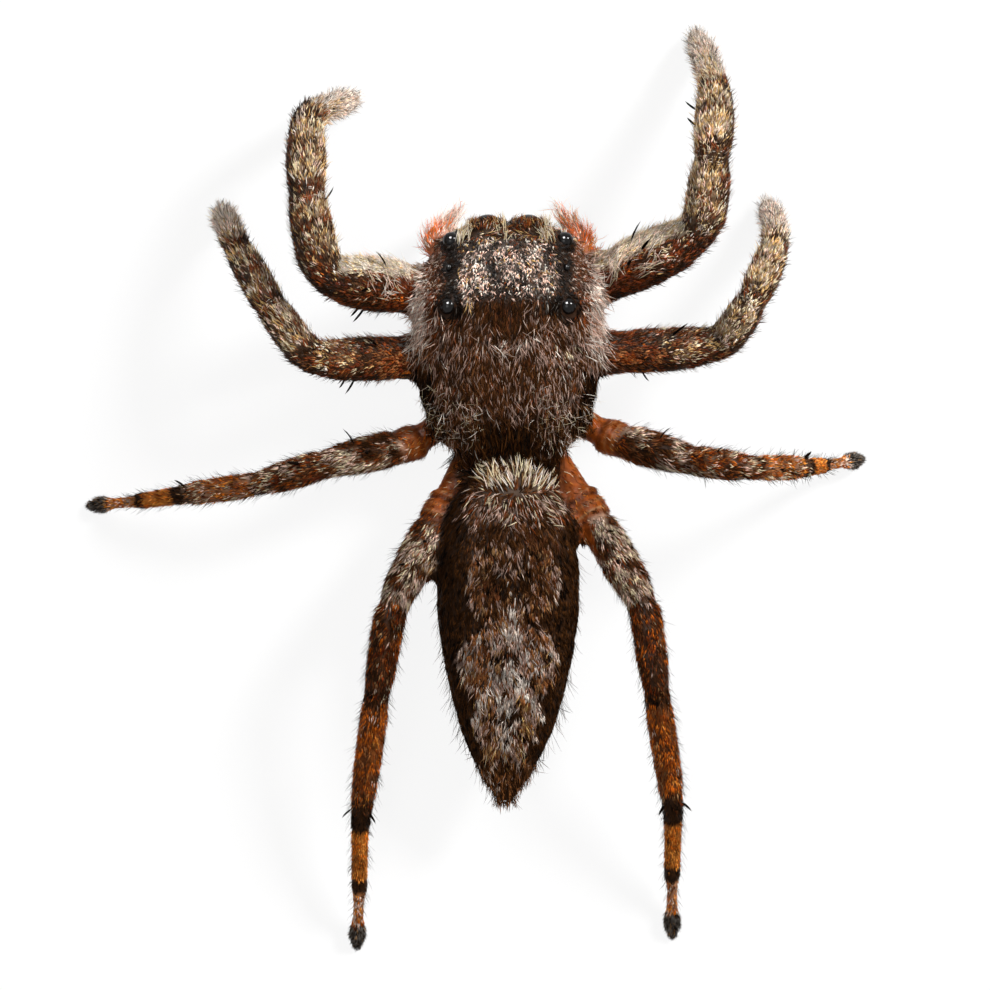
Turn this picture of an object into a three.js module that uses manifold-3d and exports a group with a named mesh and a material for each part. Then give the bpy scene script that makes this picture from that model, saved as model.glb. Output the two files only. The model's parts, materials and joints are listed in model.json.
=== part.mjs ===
// A tan jumping spider, standing still, at life size. Millimetres, +Z up, the floor at z = 0.
// The face looks along -Y and the spider's own left side is +X.
// Heights are above the floor, and y = 0 is the waist while the pieces are made:
// the last lines move the whole spider so that its box is centred over the origin.
// Every piece is drawn out to the tips of its coat of hair.
import * as THREE from "three";
import { mergeVertices } from "three/addons/utils/BufferGeometryUtils.js";
import Module from "manifold-3d";

const wasm = await Module();
wasm.setup();

// ---- driving dimensions ----

const SEAM = 0.012; // clearance on each side of the thin cut between two pieces
const FLOOR = 0; // level of the flats under the feet
const COXA_MESH = { sides: 8, steps: 2 }; // faces round a part of a limb and rings along it
const LIMB_MESH = { sides: 10, steps: 5 };
const FOOT_MESH = { sides: 8, steps: 4 };

// Stations from front to rear: y, half width, top, underside.
const CARAPACE = {
  stations: [
    [-4.42, 0.97, 2.06, 1.22],
    [-4.26, 1.2, 2.24, 1.14],
    [-3.75, 1.52, 2.44, 1.1],
    [-3.15, 1.8, 2.53, 1.08],
    [-2.35, 1.82, 2.53, 1.08],
    [-1.6, 1.75, 2.42, 1.08],
    [-0.9, 1.6, 2.14, 1.1],
    [-0.4, 1.3, 1.8, 1.12],
    [-0.06, 0.85, 1.48, 1.15],
  ],
  widest: 1.32, // height of the side margins
  squareness: 2.4,
  sides: 26,
  steps: 14,
};
const ABDOMEN = {
  stations: [
    [0.06, 0.42, 1.78, 1.12],
    [0.4, 0.82, 2.02, 0.9],
    [1.1, 1.2, 2.28, 0.72],
    [2.1, 1.385, 2.38, 0.64],
    [3.2, 1.32, 2.34, 0.64],
    [4.2, 1.12, 2.2, 0.72],
    [5.0, 0.9, 1.98, 0.84],
    [5.65, 0.6, 1.7, 0.95],
    [6.1, 0.34, 1.42, 1.02],
  ],
  widest: 1.5,
  squareness: 2.1,
  sides: 22,
  steps: 13,
};
const TAIL_LEAN = 0.05; // the tail end is carried this far to the spider's left

const STERNUM = {
  stations: [
    [-3.9, 0.42, 1.14, 0.78],
    [-3.3, 0.72, 1.16, 0.68],
    [-2.0, 0.92, 1.16, 0.62],
    [-0.8, 0.68, 1.16, 0.68],
    [-0.3, 0.3, 1.14, 0.8],
  ],
  widest: 0.95,
  squareness: 2.4,
  sides: 12,
  steps: 5,
};

const WAIST = { radius: 0.27, height: 1.38, from: -0.5, to: 0.6 };

// Each eye on the left: its centre (x, y, z) and its radius. The right side mirrors it.
const EYES = {
  front_middle: { at: [0.38, -4.31, 1.74], radius: 0.335 },
  front_side: { at: [1.06, -4.15, 1.86], radius: 0.165 },
  rear_small: { at: [1.1, -3.64, 2.17], radius: 0.07 },
  rear_side: { at: [1.11, -2.92, 2.23], radius: 0.17 },
};
const SOCKET_GAP = 0.012;

const JAW = {
  top: [0.34, -4.1, 1.3],
  tip: [0.3, -4.32, 0.36],
  half_width: 0.31,
  half_depth: 0.29,
};

const PALP = {
  joints: [
    [0.78, -3.78, 0.86],
    [1.56, -4.0, 1.12],
    [0.98, -4.72, 0.5],
  ],
  joint_radius: [0.25, 0.26, 0.2],
  belly_radius: [0.27, 0.3],
  turn_reach: 0.34,
};

const SPINNERETS = {
  length: 0.42,
  radius: 0.14,
  spread: 0.15,
  rise: 0.1,
  root: [0.05, 6.0, 1.22],
};

// Legs, in pairs from the front: the length of each part, then the radius at each joint,
// from the hip to the claw tuft, and the fuller radius half way along each part.
const LEG_PARTS = ["coxa", "femur", "patella", "tibia", "metatarsus", "tarsus"];
const PAIRS = {
  1: {
    lengths: [2.62, 1.57, 1.7, 0.97, 0.92],
    joint_radius: [0.36, 0.4, 0.42, 0.37, 0.34, 0.27, 0.18],
    belly_radius: [0.4, 0.56, 0.44, 0.4, 0.3, 0.28],
  },
  2: {
    lengths: [2.6, 1.26, 1.54, 0.85, 0.76],
    joint_radius: [0.36, 0.38, 0.37, 0.33, 0.29, 0.26, 0.17],
    belly_radius: [0.38, 0.46, 0.37, 0.34, 0.28, 0.27],
  },
  3: {
    lengths: [2.08, 1.34, 1.57, 0.94, 1.04],
    joint_radius: [0.34, 0.34, 0.31, 0.27, 0.25, 0.25, 0.16],
    belly_radius: [0.36, 0.38, 0.33, 0.28, 0.25, 0.26],
  },
  4: {
    lengths: [2.56, 1.63, 2.48, 1.58, 1.14],
    joint_radius: [0.34, 0.33, 0.33, 0.29, 0.26, 0.25, 0.16],
    belly_radius: [0.36, 0.41, 0.34, 0.3, 0.25, 0.26],
  },
};

// How each leg is held. The hip is where the femur leaves the coxa, and heart is the coxa's
// inner end. A heading is in degrees from straight ahead towards the leg's own side, and a
// climb is in degrees above level. The last climb follows from the height of the foot.
const FOOT_PRESS = 0.06; // how far a claw tuft would reach below the floor if it weren't flattened
const TURN_REACH = 0.26; // how much of a part's length the rounding of a joint takes
const STANCE = [
  {
    pair: 1,
    side: "left",
    heart: [0.5, -2.95, 0.9],
    hip: [1.46, -3.22, 1.0],
    headings: [84, 10, 1, -61, -68],
    climbs: [39, -8, -28, -60],
  },
  {
    pair: 1,
    side: "right",
    heart: [0.5, -2.95, 0.9],
    hip: [1.46, -3.3, 1.0],
    headings: [66, 6, 4, -14, -20],
    climbs: [24, 22, -44, -50],
  },
  {
    pair: 2,
    side: "left",
    heart: [0.6, -2.15, 0.9],
    hip: [1.5, -2.0, 0.98],
    headings: [93, 35, 30, 25, 24],
    climbs: [32, -8, -32, -51],
  },
  {
    pair: 2,
    side: "right",
    heart: [0.6, -2.15, 0.9],
    hip: [1.56, -2.05, 0.98],
    headings: [87, 32, 23, 3, -19],
    climbs: [18, 33, -45, -62],
  },
  {
    pair: 3,
    side: "left",
    heart: [0.55, -1.35, 0.9],
    hip: [1.6, -0.4, 0.95],
    headings: [103, 107, 98, 98, 95],
    climbs: [25, -20, -17, -23],
  },
  {
    pair: 3,
    side: "right",
    heart: [0.55, -1.35, 0.9],
    hip: [1.75, -0.52, 0.95],
    headings: [106, 97, 89, 84, 81],
    climbs: [31, 36, -50, -66],
  },
  {
    pair: 4,
    side: "left",
    heart: [0.4, -0.7, 0.92],
    hip: [1.1, 0.62, 0.95],
    headings: [152, 171, 172, 179, 177],
    climbs: [25, -10, -15, -19],
  },
  {
    pair: 4,
    side: "right",
    heart: [0.4, -0.7, 0.92],
    hip: [1.33, 0.58, 0.95],
    headings: [149, 173, 171, 181, 179],
    climbs: [21, 11, -23, -28],
  },
];

// ---- finishes ----

function finish(color, roughness) {
  return new THREE.MeshStandardMaterial({ color, roughness, metalness: 0 });
}
const FINISHES = {
  carapace: finish("#6b5040", 0.8),
  abdomen: finish("#4a382a", 0.8),
  belly: finish("#3a2a20", 0.7),
  front_leg: finish("#a98a62", 0.75),
  hind_leg: finish("#8a5a38", 0.75),
  foot: finish("#b0631f", 0.6),
  palp: finish("#d0703a", 0.8),
  jaw: finish("#2a1a14", 0.4),
  eye: finish("#0a0808", 0.08),
};

// ---- shapes ----

// A closed body made from a capped cylinder. pointAt gives the place of each of its points
// from its share of the way along, its angle round the middle, and its reach out from the
// middle: 1 on the surface and 0 in the middle of an end face.
function loft(sides, steps, pointAt) {
  const shape = new THREE.CylinderGeometry(1, 1, 1, sides, steps);
  shape.deleteAttribute("normal");
  shape.deleteAttribute("uv");
  const body = mergeVertices(shape, 1e-4);
  const place = body.getAttribute("position");
  const spot = new THREE.Vector3();
  for (let i = 0; i < place.count; i++) {
    spot.fromBufferAttribute(place, i);
    const reach = Math.min(1, Math.hypot(spot.x, spot.z));
    const made = pointAt(spot.y + 0.5, Math.atan2(spot.z, spot.x), reach);
    place.setXYZ(i, made.x, made.y, made.z);
  }
  return body;
}

function rounded(value, squareness) {
  return Math.sign(value) * Math.abs(value) ** (2 / squareness);
}

// A part of the trunk, from its stations; spare makes it that much larger all round.
function trunkPart(plan, spare = 0, lean = 0) {
  const rows = plan.stations;
  const first = rows[0][0];
  const last = rows[rows.length - 1][0];
  const crest = new THREE.CatmullRomCurve3(rows.map(([y, half, top]) => new THREE.Vector3(y, half, top)));
  const keel = new THREE.CatmullRomCurve3(rows.map(([y, , , under]) => new THREE.Vector3(y, 0, under)));
  return loft(plan.sides, plan.steps, (along, angle, reach) => {
    const share = THREE.MathUtils.lerp(along, (1 - Math.cos(Math.PI * along)) / 2, 0.5);
    const high = crest.getPoint(share);
    const low = keel.getPoint(share);
    const stretch = (high.x - (first + last) / 2) / ((last - first) / 2);
    const across = rounded(Math.cos(angle), plan.squareness) * (high.y + spare);
    const lift = rounded(Math.sin(angle), plan.squareness);
    const tall = lift > 0 ? high.z + spare - plan.widest : plan.widest - low.z + spare;
    const tail = Math.max(0, stretch) ** 2 * lean;
    return new THREE.Vector3(
      across * reach + tail,
      high.x + stretch * spare,
      plan.widest + lift * tall * reach,
    );
  });
}

// The middle line of one part of a limb, between the middles of the rounded joints at its ends.
function partLine(joints, index, reachShare) {
  const start = joints[index];
  const end = joints[index + 1];
  const reach = start.distanceTo(end) * reachShare;
  const line = new THREE.CurvePath();
  let from = start.clone();
  let to = end.clone();
  if (index > 0) {
    const corner = cornerAt(joints, index, reachShare);
    from = start.clone().lerp(end, reach / start.distanceTo(end));
    line.add(new THREE.QuadraticBezierCurve3(corner, start.clone().lerp(from, 0.5), from));
  }
  if (index < joints.length - 2) {
    const corner = cornerAt(joints, index + 1, reachShare);
    to = end.clone().lerp(start, reach / start.distanceTo(end));
    line.add(new THREE.LineCurve3(from, to));
    line.add(new THREE.QuadraticBezierCurve3(to, to.clone().lerp(end, 0.5), corner));
  } else {
    line.add(new THREE.LineCurve3(from, to));
  }
  return line;
}

// Where a limb's rounded middle line passes a joint, and which way it runs there.
function cornerAt(joints, index, reachShare) {
  const [before, joint, after] = [joints[index - 1], joints[index], joints[index + 1]];
  const entry = joint.clone().lerp(before, reachShare);
  const exit = joint.clone().lerp(after, reachShare);
  return entry.clone().add(exit).add(joint).add(joint).multiplyScalar(0.25);
}

function directionAt(joints, index, reachShare) {
  const last = joints.length - 1;
  const entry = index === 0 ? joints[0] : joints[index].clone().lerp(joints[index - 1], reachShare);
  const exit = index === last ? joints[last] : joints[index].clone().lerp(joints[index + 1], reachShare);
  return exit.clone().sub(entry).normalize();
}

// One part of a limb: round, fullest half way along, and necked in to its joints, which
// end in flat faces that lie along the neighbour's across a thin seam.
function limbPart(joints, index, widths, reachShare, mesh) {
  const line = partLine(joints, index, reachShare);
  const length = line.getLength();
  const ends = [directionAt(joints, index, reachShare), directionAt(joints, index + 1, reachShare)];
  const level = new THREE.Vector3(ends[0].y, -ends[0].x, 0).normalize();
  const sideways = new THREE.Vector3();
  const upward = new THREE.Vector3();
  return loft(mesh.sides, mesh.steps, (along, angle, reach) => {
    const share = THREE.MathUtils.lerp(SEAM / length, 1 - SEAM / length, along);
    const centre = line.getPointAt(share);
    const ahead = ends[0].clone().lerp(ends[1], along).normalize();
    if (along > 0 && along < 1) ahead.copy(line.getTangentAt(share));
    sideways.copy(level).addScaledVector(ahead, -level.dot(ahead)).normalize();
    upward.crossVectors(sideways, ahead);
    const plain = THREE.MathUtils.lerp(widths.start, widths.end, along);
    const fuller = widths.belly - (widths.start + widths.end) / 2;
    const radius = (plain + fuller * Math.sin(Math.PI * along) ** 0.8) * reach;
    return centre
      .addScaledVector(sideways, Math.cos(angle) * radius)
      .addScaledVector(upward, Math.sin(angle) * radius);
  });
}

function widthsOf(pair, index) {
  return {
    start: pair.joint_radius[index],
    end: pair.joint_radius[index + 1],
    belly: pair.belly_radius[index],
  };
}

// The joints of a leg from the inner end of its coxa to the middle of its claw tuft.
function legJoints(stance) {
  const sign = stance.side === "left" ? 1 : -1;
  const pair = PAIRS[stance.pair];
  const joints = [stance.heart, stance.hip].map(([x, y, z]) => new THREE.Vector3(x * sign, y, z));
  stance.headings.forEach((heading, part) => {
    const from = joints[joints.length - 1];
    const length = pair.lengths[part];
    const turn = THREE.MathUtils.degToRad(heading);
    const climb = part < 4 ? THREE.MathUtils.degToRad(stance.climbs[part]) : climbToFloor(from.z, length, pair);
    const flat = length * Math.cos(climb);
    const step = new THREE.Vector3(sign * Math.sin(turn) * flat, -Math.cos(turn) * flat, Math.sin(climb) * length);
    joints.push(from.clone().add(step));
  });
  return joints;
}

// The slope of a tarsus whose claw tuft just presses on the floor.
function climbToFloor(height, length, pair) {
  const tuft = pair.joint_radius[pair.joint_radius.length - 1];
  let climb = 0;
  for (let pass = 0; pass < 8; pass++) {
    const end = FLOOR + tuft * Math.cos(climb) - FOOT_PRESS;
    climb = Math.asin((end - height) / length);
  }
  return climb;
}

// ---- joining and cutting ----

function toSolid(geometry) {
  const merged = mergeVertices(geometry, 1e-6);
  return new wasm.Manifold(
    new wasm.Mesh({
      numProp: 3,
      vertProperties: merged.getAttribute("position").array,
      triVerts: new Uint32Array(merged.getIndex().array),
    }),
  );
}

// The largest piece of what a cut leaves, as a geometry.
function toGeometry(solid) {
  const pieces = solid.decompose().sort((a, b) => b.volume() - a.volume());
  const mesh = pieces[0].getMesh();
  const geometry = new THREE.BufferGeometry();
  geometry.setAttribute("position", new THREE.BufferAttribute(mesh.vertProperties, 3));
  geometry.setIndex(new THREE.BufferAttribute(mesh.triVerts, 1));
  return geometry;
}

function cutBy(geometry, ...cutters) {
  return toGeometry(cutters.reduce((solid, cutter) => solid.subtract(cutter), toSolid(geometry)));
}

// ---- pieces ----

const spider = new THREE.Group();

function addPiece(name, geometry, material) {
  const piece = new THREE.Mesh(geometry, material);
  piece.name = name;
  spider.add(piece);
  return piece;
}

function onSide([x, y, z], side) {
  return new THREE.Vector3(side === "left" ? x : -x, y, z);
}

const SIDES = ["left", "right"];
const carapaceRoom = toSolid(trunkPart(CARAPACE, SEAM));
const abdomenRoom = toSolid(trunkPart(ABDOMEN, SEAM, TAIL_LEAN));

function addCarapaceAndEyes() {
  const sockets = [];
  for (const [name, eye] of Object.entries(EYES)) {
    for (const side of SIDES) {
      const rounds = eye.radius > 0.2 ? 12 : 8;
      const ball = new THREE.SphereGeometry(eye.radius, rounds, rounds / 2 + 1);
      const socket = new THREE.SphereGeometry(eye.radius + SOCKET_GAP, rounds, rounds / 2 + 1);
      const centre = onSide(eye.at, side);
      for (const sphere of [ball, socket]) {
        sphere.deleteAttribute("normal");
        sphere.deleteAttribute("uv");
        sphere.translate(centre.x, centre.y, centre.z);
      }
      addPiece(`eye_${name}_${side}`, ball, FINISHES.eye);
      sockets.push(toSolid(socket));
    }
  }
  addPiece("carapace", cutBy(trunkPart(CARAPACE), ...sockets), FINISHES.carapace);
}

function addAbdomen() {
  addPiece("abdomen", trunkPart(ABDOMEN, 0, TAIL_LEAN), FINISHES.abdomen);
}

function addSternum() {
  let solid = toSolid(trunkPart(STERNUM));
  for (const stance of STANCE) {
    const widths = widthsOf(PAIRS[stance.pair], 0);
    solid = solid.add(toSolid(limbPart(legJoints(stance), 0, widths, TURN_REACH, COXA_MESH)));
  }
  addPiece("sternum", toGeometry(solid.subtract(carapaceRoom).subtract(abdomenRoom)), FINISHES.belly);
}

function addWaist() {
  const sternumRoom = toSolid(trunkPart(STERNUM, SEAM));
  const stub = loft(12, 2, (along, angle, reach) => {
    return new THREE.Vector3(
      Math.cos(angle) * WAIST.radius * reach,
      THREE.MathUtils.lerp(WAIST.from, WAIST.to, along),
      WAIST.height + Math.sin(angle) * WAIST.radius * reach,
    );
  });
  addPiece("waist", cutBy(stub, carapaceRoom, abdomenRoom, sternumRoom), FINISHES.belly);
}

function addLegs() {
  for (const stance of STANCE) {
    const joints = legJoints(stance);
    for (let index = 1; index < LEG_PARTS.length; index++) {
      const widths = widthsOf(PAIRS[stance.pair], index);
      const name = LEG_PARTS[index];
      const isFoot = name === "metatarsus" || name === "tarsus";
      let part = limbPart(joints, index, widths, TURN_REACH, isFoot ? FOOT_MESH : LIMB_MESH);
      if (name === "femur") part = cutBy(part, carapaceRoom, abdomenRoom);
      if (name === "tarsus") part = toGeometry(toSolid(part).trimByPlane([0, 0, 1], FLOOR));
      const upper = stance.pair < 3 ? FINISHES.front_leg : FINISHES.hind_leg;
      addPiece(`leg_${stance.pair}_${stance.side}_${name}`, part, isFoot ? FINISHES.foot : upper);
    }
  }
}

function addPalps() {
  for (const side of SIDES) {
    const joints = PALP.joints.map((joint) => onSide(joint, side));
    ["arm", "tip"].forEach((name, index) => {
      const part = limbPart(joints, index, widthsOf(PALP, index), PALP.turn_reach, LIMB_MESH);
      addPiece(`palp_${side}_${name}`, cutBy(part, carapaceRoom), FINISHES.palp);
    });
  }
}

function addJaws() {
  for (const side of SIDES) {
    const top = onSide(JAW.top, side);
    const tip = onSide(JAW.tip, side);
    const jaw = loft(12, 3, (along, angle, reach) => {
      const taper = (1 - 0.45 * along ** 3) * reach;
      const centre = top.clone().lerp(tip, along);
      centre.x += Math.cos(angle) * JAW.half_width * taper;
      centre.y += Math.sin(angle) * JAW.half_depth * taper;
      return centre;
    });
    addPiece(`jaw_${side}`, cutBy(jaw, carapaceRoom), FINISHES.jaw);
  }
}

// Four short fingers at the end of the abdomen, joined at their roots.
function addSpinnerets() {
  const [x, y, z] = SPINNERETS.root;
  const fingers = [];
  for (const across of [-1, 1]) {
    for (const level of [-1, 1]) {
      const finger = loft(8, 2, (along, angle, reach) => {
        const radius = SPINNERETS.radius * (1 - 0.4 * along ** 2) * reach;
        const fan = SPINNERETS.spread * (0.4 + 0.6 * along);
        return new THREE.Vector3(
          x + across * fan + Math.cos(angle) * radius,
          y + along * SPINNERETS.length,
          z + level * SPINNERETS.rise * (0.5 + 0.5 * along) + Math.sin(angle) * radius,
        );
      });
      fingers.push(toSolid(finger));
    }
  }
  const joined = fingers.reduce((all, finger) => all.add(finger));
  addPiece("spinnerets", toGeometry(joined.subtract(abdomenRoom)), FINISHES.belly);
}

addCarapaceAndEyes();
addAbdomen();
addSternum();
addWaist();
addJaws();
addPalps();
addLegs();
addSpinnerets();

// Centre the spider's box over the origin, with its feet on the floor.
const box = new THREE.Box3().setFromObject(spider, true);
const middle = box.getCenter(new THREE.Vector3());
spider.position.set(-middle.x, -middle.y, -box.min.z);

const part = new THREE.Group();
part.add(spider);
export default part;
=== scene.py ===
"""A tan jumping spider: one skin over the flesh, a coat of hair, and eyes, jaws, claws and spines.

Lengths are in millimetres from the waist's place on the floor, until a mesh is finished:
+Z is up, the face looks along -Y and the spider's own left is +X.
"""

import json
import math

import bmesh
import bpy
import numpy as np
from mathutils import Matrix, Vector
from mathutils.bvhtree import BVHTree
from mathutils.kdtree import KDTree

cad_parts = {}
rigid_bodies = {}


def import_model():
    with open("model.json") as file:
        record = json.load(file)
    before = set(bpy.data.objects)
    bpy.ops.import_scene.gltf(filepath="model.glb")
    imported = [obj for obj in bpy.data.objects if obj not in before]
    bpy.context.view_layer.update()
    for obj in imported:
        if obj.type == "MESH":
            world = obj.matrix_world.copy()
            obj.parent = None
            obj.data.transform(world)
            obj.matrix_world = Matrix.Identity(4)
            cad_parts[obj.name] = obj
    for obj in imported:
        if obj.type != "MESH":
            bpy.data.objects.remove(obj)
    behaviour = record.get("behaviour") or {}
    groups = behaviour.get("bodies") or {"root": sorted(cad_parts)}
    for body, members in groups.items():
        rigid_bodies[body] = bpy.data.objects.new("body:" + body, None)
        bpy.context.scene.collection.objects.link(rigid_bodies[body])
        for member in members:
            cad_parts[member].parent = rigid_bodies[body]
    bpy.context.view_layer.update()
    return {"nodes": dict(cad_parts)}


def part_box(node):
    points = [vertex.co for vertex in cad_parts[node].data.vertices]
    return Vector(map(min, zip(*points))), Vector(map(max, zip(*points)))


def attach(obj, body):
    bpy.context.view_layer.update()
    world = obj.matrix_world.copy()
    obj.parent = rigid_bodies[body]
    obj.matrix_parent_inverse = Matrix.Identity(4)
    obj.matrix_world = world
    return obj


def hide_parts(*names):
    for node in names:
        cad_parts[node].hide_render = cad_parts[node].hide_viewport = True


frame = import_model()

MM = 0.001
WAIST_TO_ABDOMEN = 0.06
SOLE = 0.004  # nothing reaches lower than this over the floor
rng = np.random.default_rng(11)

SIDES = ("left", "right")
LEG_PARTS = ("femur", "patella", "tibia", "metatarsus", "tarsus")
LEGS = [f"leg_{pair}_{side}" for pair in (1, 2, 3, 4) for side in SIDES]
PALPS = [f"palp_{side}" for side in SIDES]
BIG_EYES = [f"eye_front_middle_{side}" for side in SIDES]
EYES = [n for n in frame["nodes"] if n.startswith("eye_")]
JAWS = [f"jaw_{side}" for side in SIDES]
FLESH = [n for n in sorted(frame["nodes"]) if n not in EYES and n not in JAWS]


# ---- places and colours ----


def waist_on_floor():
    """The point that lengths are counted from, in the frame."""
    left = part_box("eye_front_middle_left")
    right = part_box("eye_front_middle_right")
    middle = (left[0].x + right[1].x) / 2
    return np.array([middle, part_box("abdomen")[0].y - WAIST_TO_ABDOMEN * MM, 0.0])


HOME = waist_on_floor()


def to_frame(points):
    return np.asarray(points) * MM + HOME


def from_frame(points):
    return (np.asarray(points) - HOME) / MM


def length_of(vectors):
    return np.linalg.norm(vectors, axis=-1)


def unit(vectors):
    return vectors / np.maximum(length_of(vectors)[..., None], 1e-9)


def dot(a, b):
    return np.sum(a * b, axis=-1)


def square_to(vectors, axis):
    """The part of each vector that is square to an axis."""
    return vectors - axis * dot(vectors, axis)[:, None]


def linear(code):
    """A colour written as a hex code, as linear light."""
    parts = [int(code[i : i + 2], 16) / 255 for i in (1, 3, 5)]
    return np.array([p / 12.92 if p < 0.04045 else ((p + 0.055) / 1.055) ** 2.4 for p in parts])


def blend(a, b, share):
    share = np.clip(share, 0, 1)[..., None]
    return a * (1 - share) + b * share


def step(value, low, high):
    """0 below low, 1 above high and smooth between."""
    t = np.clip((value - low) / (high - low), 0, 1)
    return t * t * (3 - 2 * t)


def hump(value, middle, width):
    return np.exp(-(((value - middle) / width) ** 2))


def strongest(marks):
    """The largest of several marks at each place."""
    return np.maximum.reduce(list(marks))


PRIMES = (73856093, 19349663, 83492791)  # they mix the three numbers of a grid corner
LOW_BITS = 0x7FFFFFFF
SEED_STEP = 7.31  # how far apart the places are that two seeds next to each other start from
CORNERS = [(x, y, z) for x in (0, 1) for y in (0, 1) for z in (0, 1)]


def grain(points, size, seed):
    """Smooth noise from -1 to 1 whose blotches are about the given size."""
    cell = np.asarray(points) / size + seed * SEED_STEP
    corner = np.floor(cell).astype(np.int64)
    part = cell - corner
    part = part * part * (3 - 2 * part)
    total = 0
    for corner_way in CORNERS:
        key = np.bitwise_xor.reduce([(corner[..., i] + corner_way[i]) * PRIMES[i] for i in range(3)])
        key = ((key & LOW_BITS) * 1103515245 + 12345) & LOW_BITS
        value = (key >> 8) % 4096 / 2048 - 1
        x, y, z = (part[..., i] if corner_way[i] else 1 - part[..., i] for i in range(3))
        total = total + value * (x * y) * z
    return total


# ---- objects and shader nodes ----


def new_object(name, data):
    made = bpy.data.objects.new(name, data)
    bpy.context.collection.objects.link(made)
    return made


def new_tree(owner):
    owner.use_nodes = True
    owner.node_tree.nodes.clear()
    return owner.node_tree


def add_node(tree, kind, inputs, **settings):
    """A shader node; each input is linked to another node's output or set to a plain value."""
    node = tree.nodes.new("ShaderNode" + kind)
    for key, value in settings.items():
        setattr(node, key, value)
    for key, value in inputs.items():
        if isinstance(value, bpy.types.NodeSocket):
            tree.links.new(value, node.inputs[key])
        else:
            node.inputs[key].default_value = value
    return node


def add_range(tree, value, low, high):
    return add_node(tree, "MapRange", {"To Min": low, "To Max": high, "Value": value}).outputs["Result"]


def add_noise(tree, scale, detail):
    place = add_node(tree, "TexCoord", {}).outputs["Object"]
    return add_node(tree, "TexNoise", {"Scale": scale, "Detail": detail, "Vector": place}).outputs["Fac"]


# ---- camera, floor and light ----

FRAME_WIDTH = 18.52  # what the camera takes in at the height of the body
CAMERA_HEIGHT = 150.0
CAMERA_OVER = (0.243, 0.599)
BODY_HEIGHT = 1.5
SENSOR = 36
WHITE = (1, 1, 1, 1)
PAPER = (0.95, 0.95, 0.95, 1)
PAPER_GLOW = 0.88  # how much of the floor's white is its own for what the camera sees
STUDIO_LIGHT = (1.0, 0.99, 0.97, 1)
STUDIO_STRENGTH = 0.3
LAMPS = {  # place, size, power in watts and whether it lights more than the gloss
    "lamp_key": ((-126, -94, 104), 42, 0.5, True),
    "lamp_top": ((40, 10, 150), 80, 0.06, True),
    "lamp_glint": ((30, -110, 125), 70, 1.2, False),
}


def make_camera():
    camera = new_object("camera", bpy.data.cameras.new("camera"))
    camera.data.sensor_width = SENSOR
    camera.data.lens = SENSOR * (CAMERA_HEIGHT - BODY_HEIGHT) / FRAME_WIDTH
    camera.data.clip_start = 0.01
    camera.data.clip_end = 10
    camera.location = to_frame((*CAMERA_OVER, CAMERA_HEIGHT))
    camera.rotation_euler = (0, 0, math.pi)
    bpy.context.scene.camera = camera


def camera_sees(tree):
    """1 for rays that the camera, a mirror or a glass sends, and 0 for the rest."""
    path = add_node(tree, "LightPath", {})
    total = path.outputs["Is Camera Ray"]
    for name in ("Is Glossy Ray", "Is Transmission Ray"):
        total = add_node(tree, "Math", {0: total, 1: path.outputs[name]}, operation="MAXIMUM").outputs[0]
    return total


def set_mixed(tree, share, first, second, kind):
    """Ends a material or a world in a mix of two shaders."""
    mix = add_node(tree, "MixShader", {0: share, 1: first.outputs[0], 2: second.outputs[0]})
    add_node(tree, "Output" + kind, {"Surface": mix.outputs[0]})


def make_floor():
    bm = bmesh.new()
    bmesh.ops.create_grid(bm, x_segments=1, y_segments=1, size=2.0)
    mesh = mesh_from(bm, "floor")
    material = bpy.data.materials.new("floor_white")
    tree = new_tree(material)
    paper = add_node(tree, "BsdfDiffuse", {"Color": PAPER})
    glow = add_node(tree, "Emission", {"Color": WHITE})
    share = add_node(tree, "Math", {0: camera_sees(tree), 1: PAPER_GLOW}, operation="MULTIPLY")
    set_mixed(tree, share.outputs[0], paper, glow, "Material")
    mesh.materials.append(material)
    floor = new_object("floor", mesh)


def make_world():
    world = bpy.data.worlds.new("studio")
    bpy.context.scene.world = world
    tree = new_tree(world)
    soft = add_node(tree, "Background", {"Color": STUDIO_LIGHT, "Strength": STUDIO_STRENGTH})
    white = add_node(tree, "Background", {"Color": WHITE, "Strength": 1.0})
    set_mixed(tree, camera_sees(tree), soft, white, "World")


def make_lamps():
    for name, (place, size, power, whole) in LAMPS.items():
        lamp = bpy.data.lights.new(name, "AREA")
        lamp.size = size * MM
        lamp.energy = power
        holder = new_object(name, lamp)
        holder.location = to_frame(place)
        aim = Vector(to_frame((0, 0, 1))) - Vector(holder.location)
        holder.rotation_euler = aim.to_track_quat("-Z", "Y").to_euler()
        holder.visible_diffuse = whole


# ---- meshes and the frame's solids ----


def mesh_from(bm, name):
    mesh = bpy.data.meshes.new(name)
    bm.to_mesh(mesh)
    bm.free()
    return mesh


def read(items, key, width, kind=np.float32):
    found = np.empty(len(items) * width, kind)
    items.foreach_get(key, found)
    return found.reshape(-1, width)


def points_of(mesh):
    return read(mesh.vertices, "co", 3).astype(float)


def normals_of(mesh):
    return read(mesh.vertices, "normal", 3).astype(float)


def edges_of(mesh):
    return read(mesh.edges, "vertices", 2, np.int32)


def set_points(mesh, points):
    mesh.vertices.foreach_set("co", np.asarray(points, np.float32).ravel())
    mesh.update()


def solid_points(name):
    return from_frame(points_of(frame["nodes"][name].data))


def surface_of(names):
    """A search tree over several solids, and for each of its faces the number of its solid."""
    points, faces, owner, count = [], [], [], 0
    for number, name in enumerate(names):
        here = solid_points(name)
        points.append(here)
        for face in frame["nodes"][name].data.polygons:
            faces.append([count + corner for corner in face.vertices])
            owner.append(number)
        count += len(here)
    return BVHTree.FromPolygons(np.vstack(points).tolist(), faces), np.array(owner)


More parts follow.
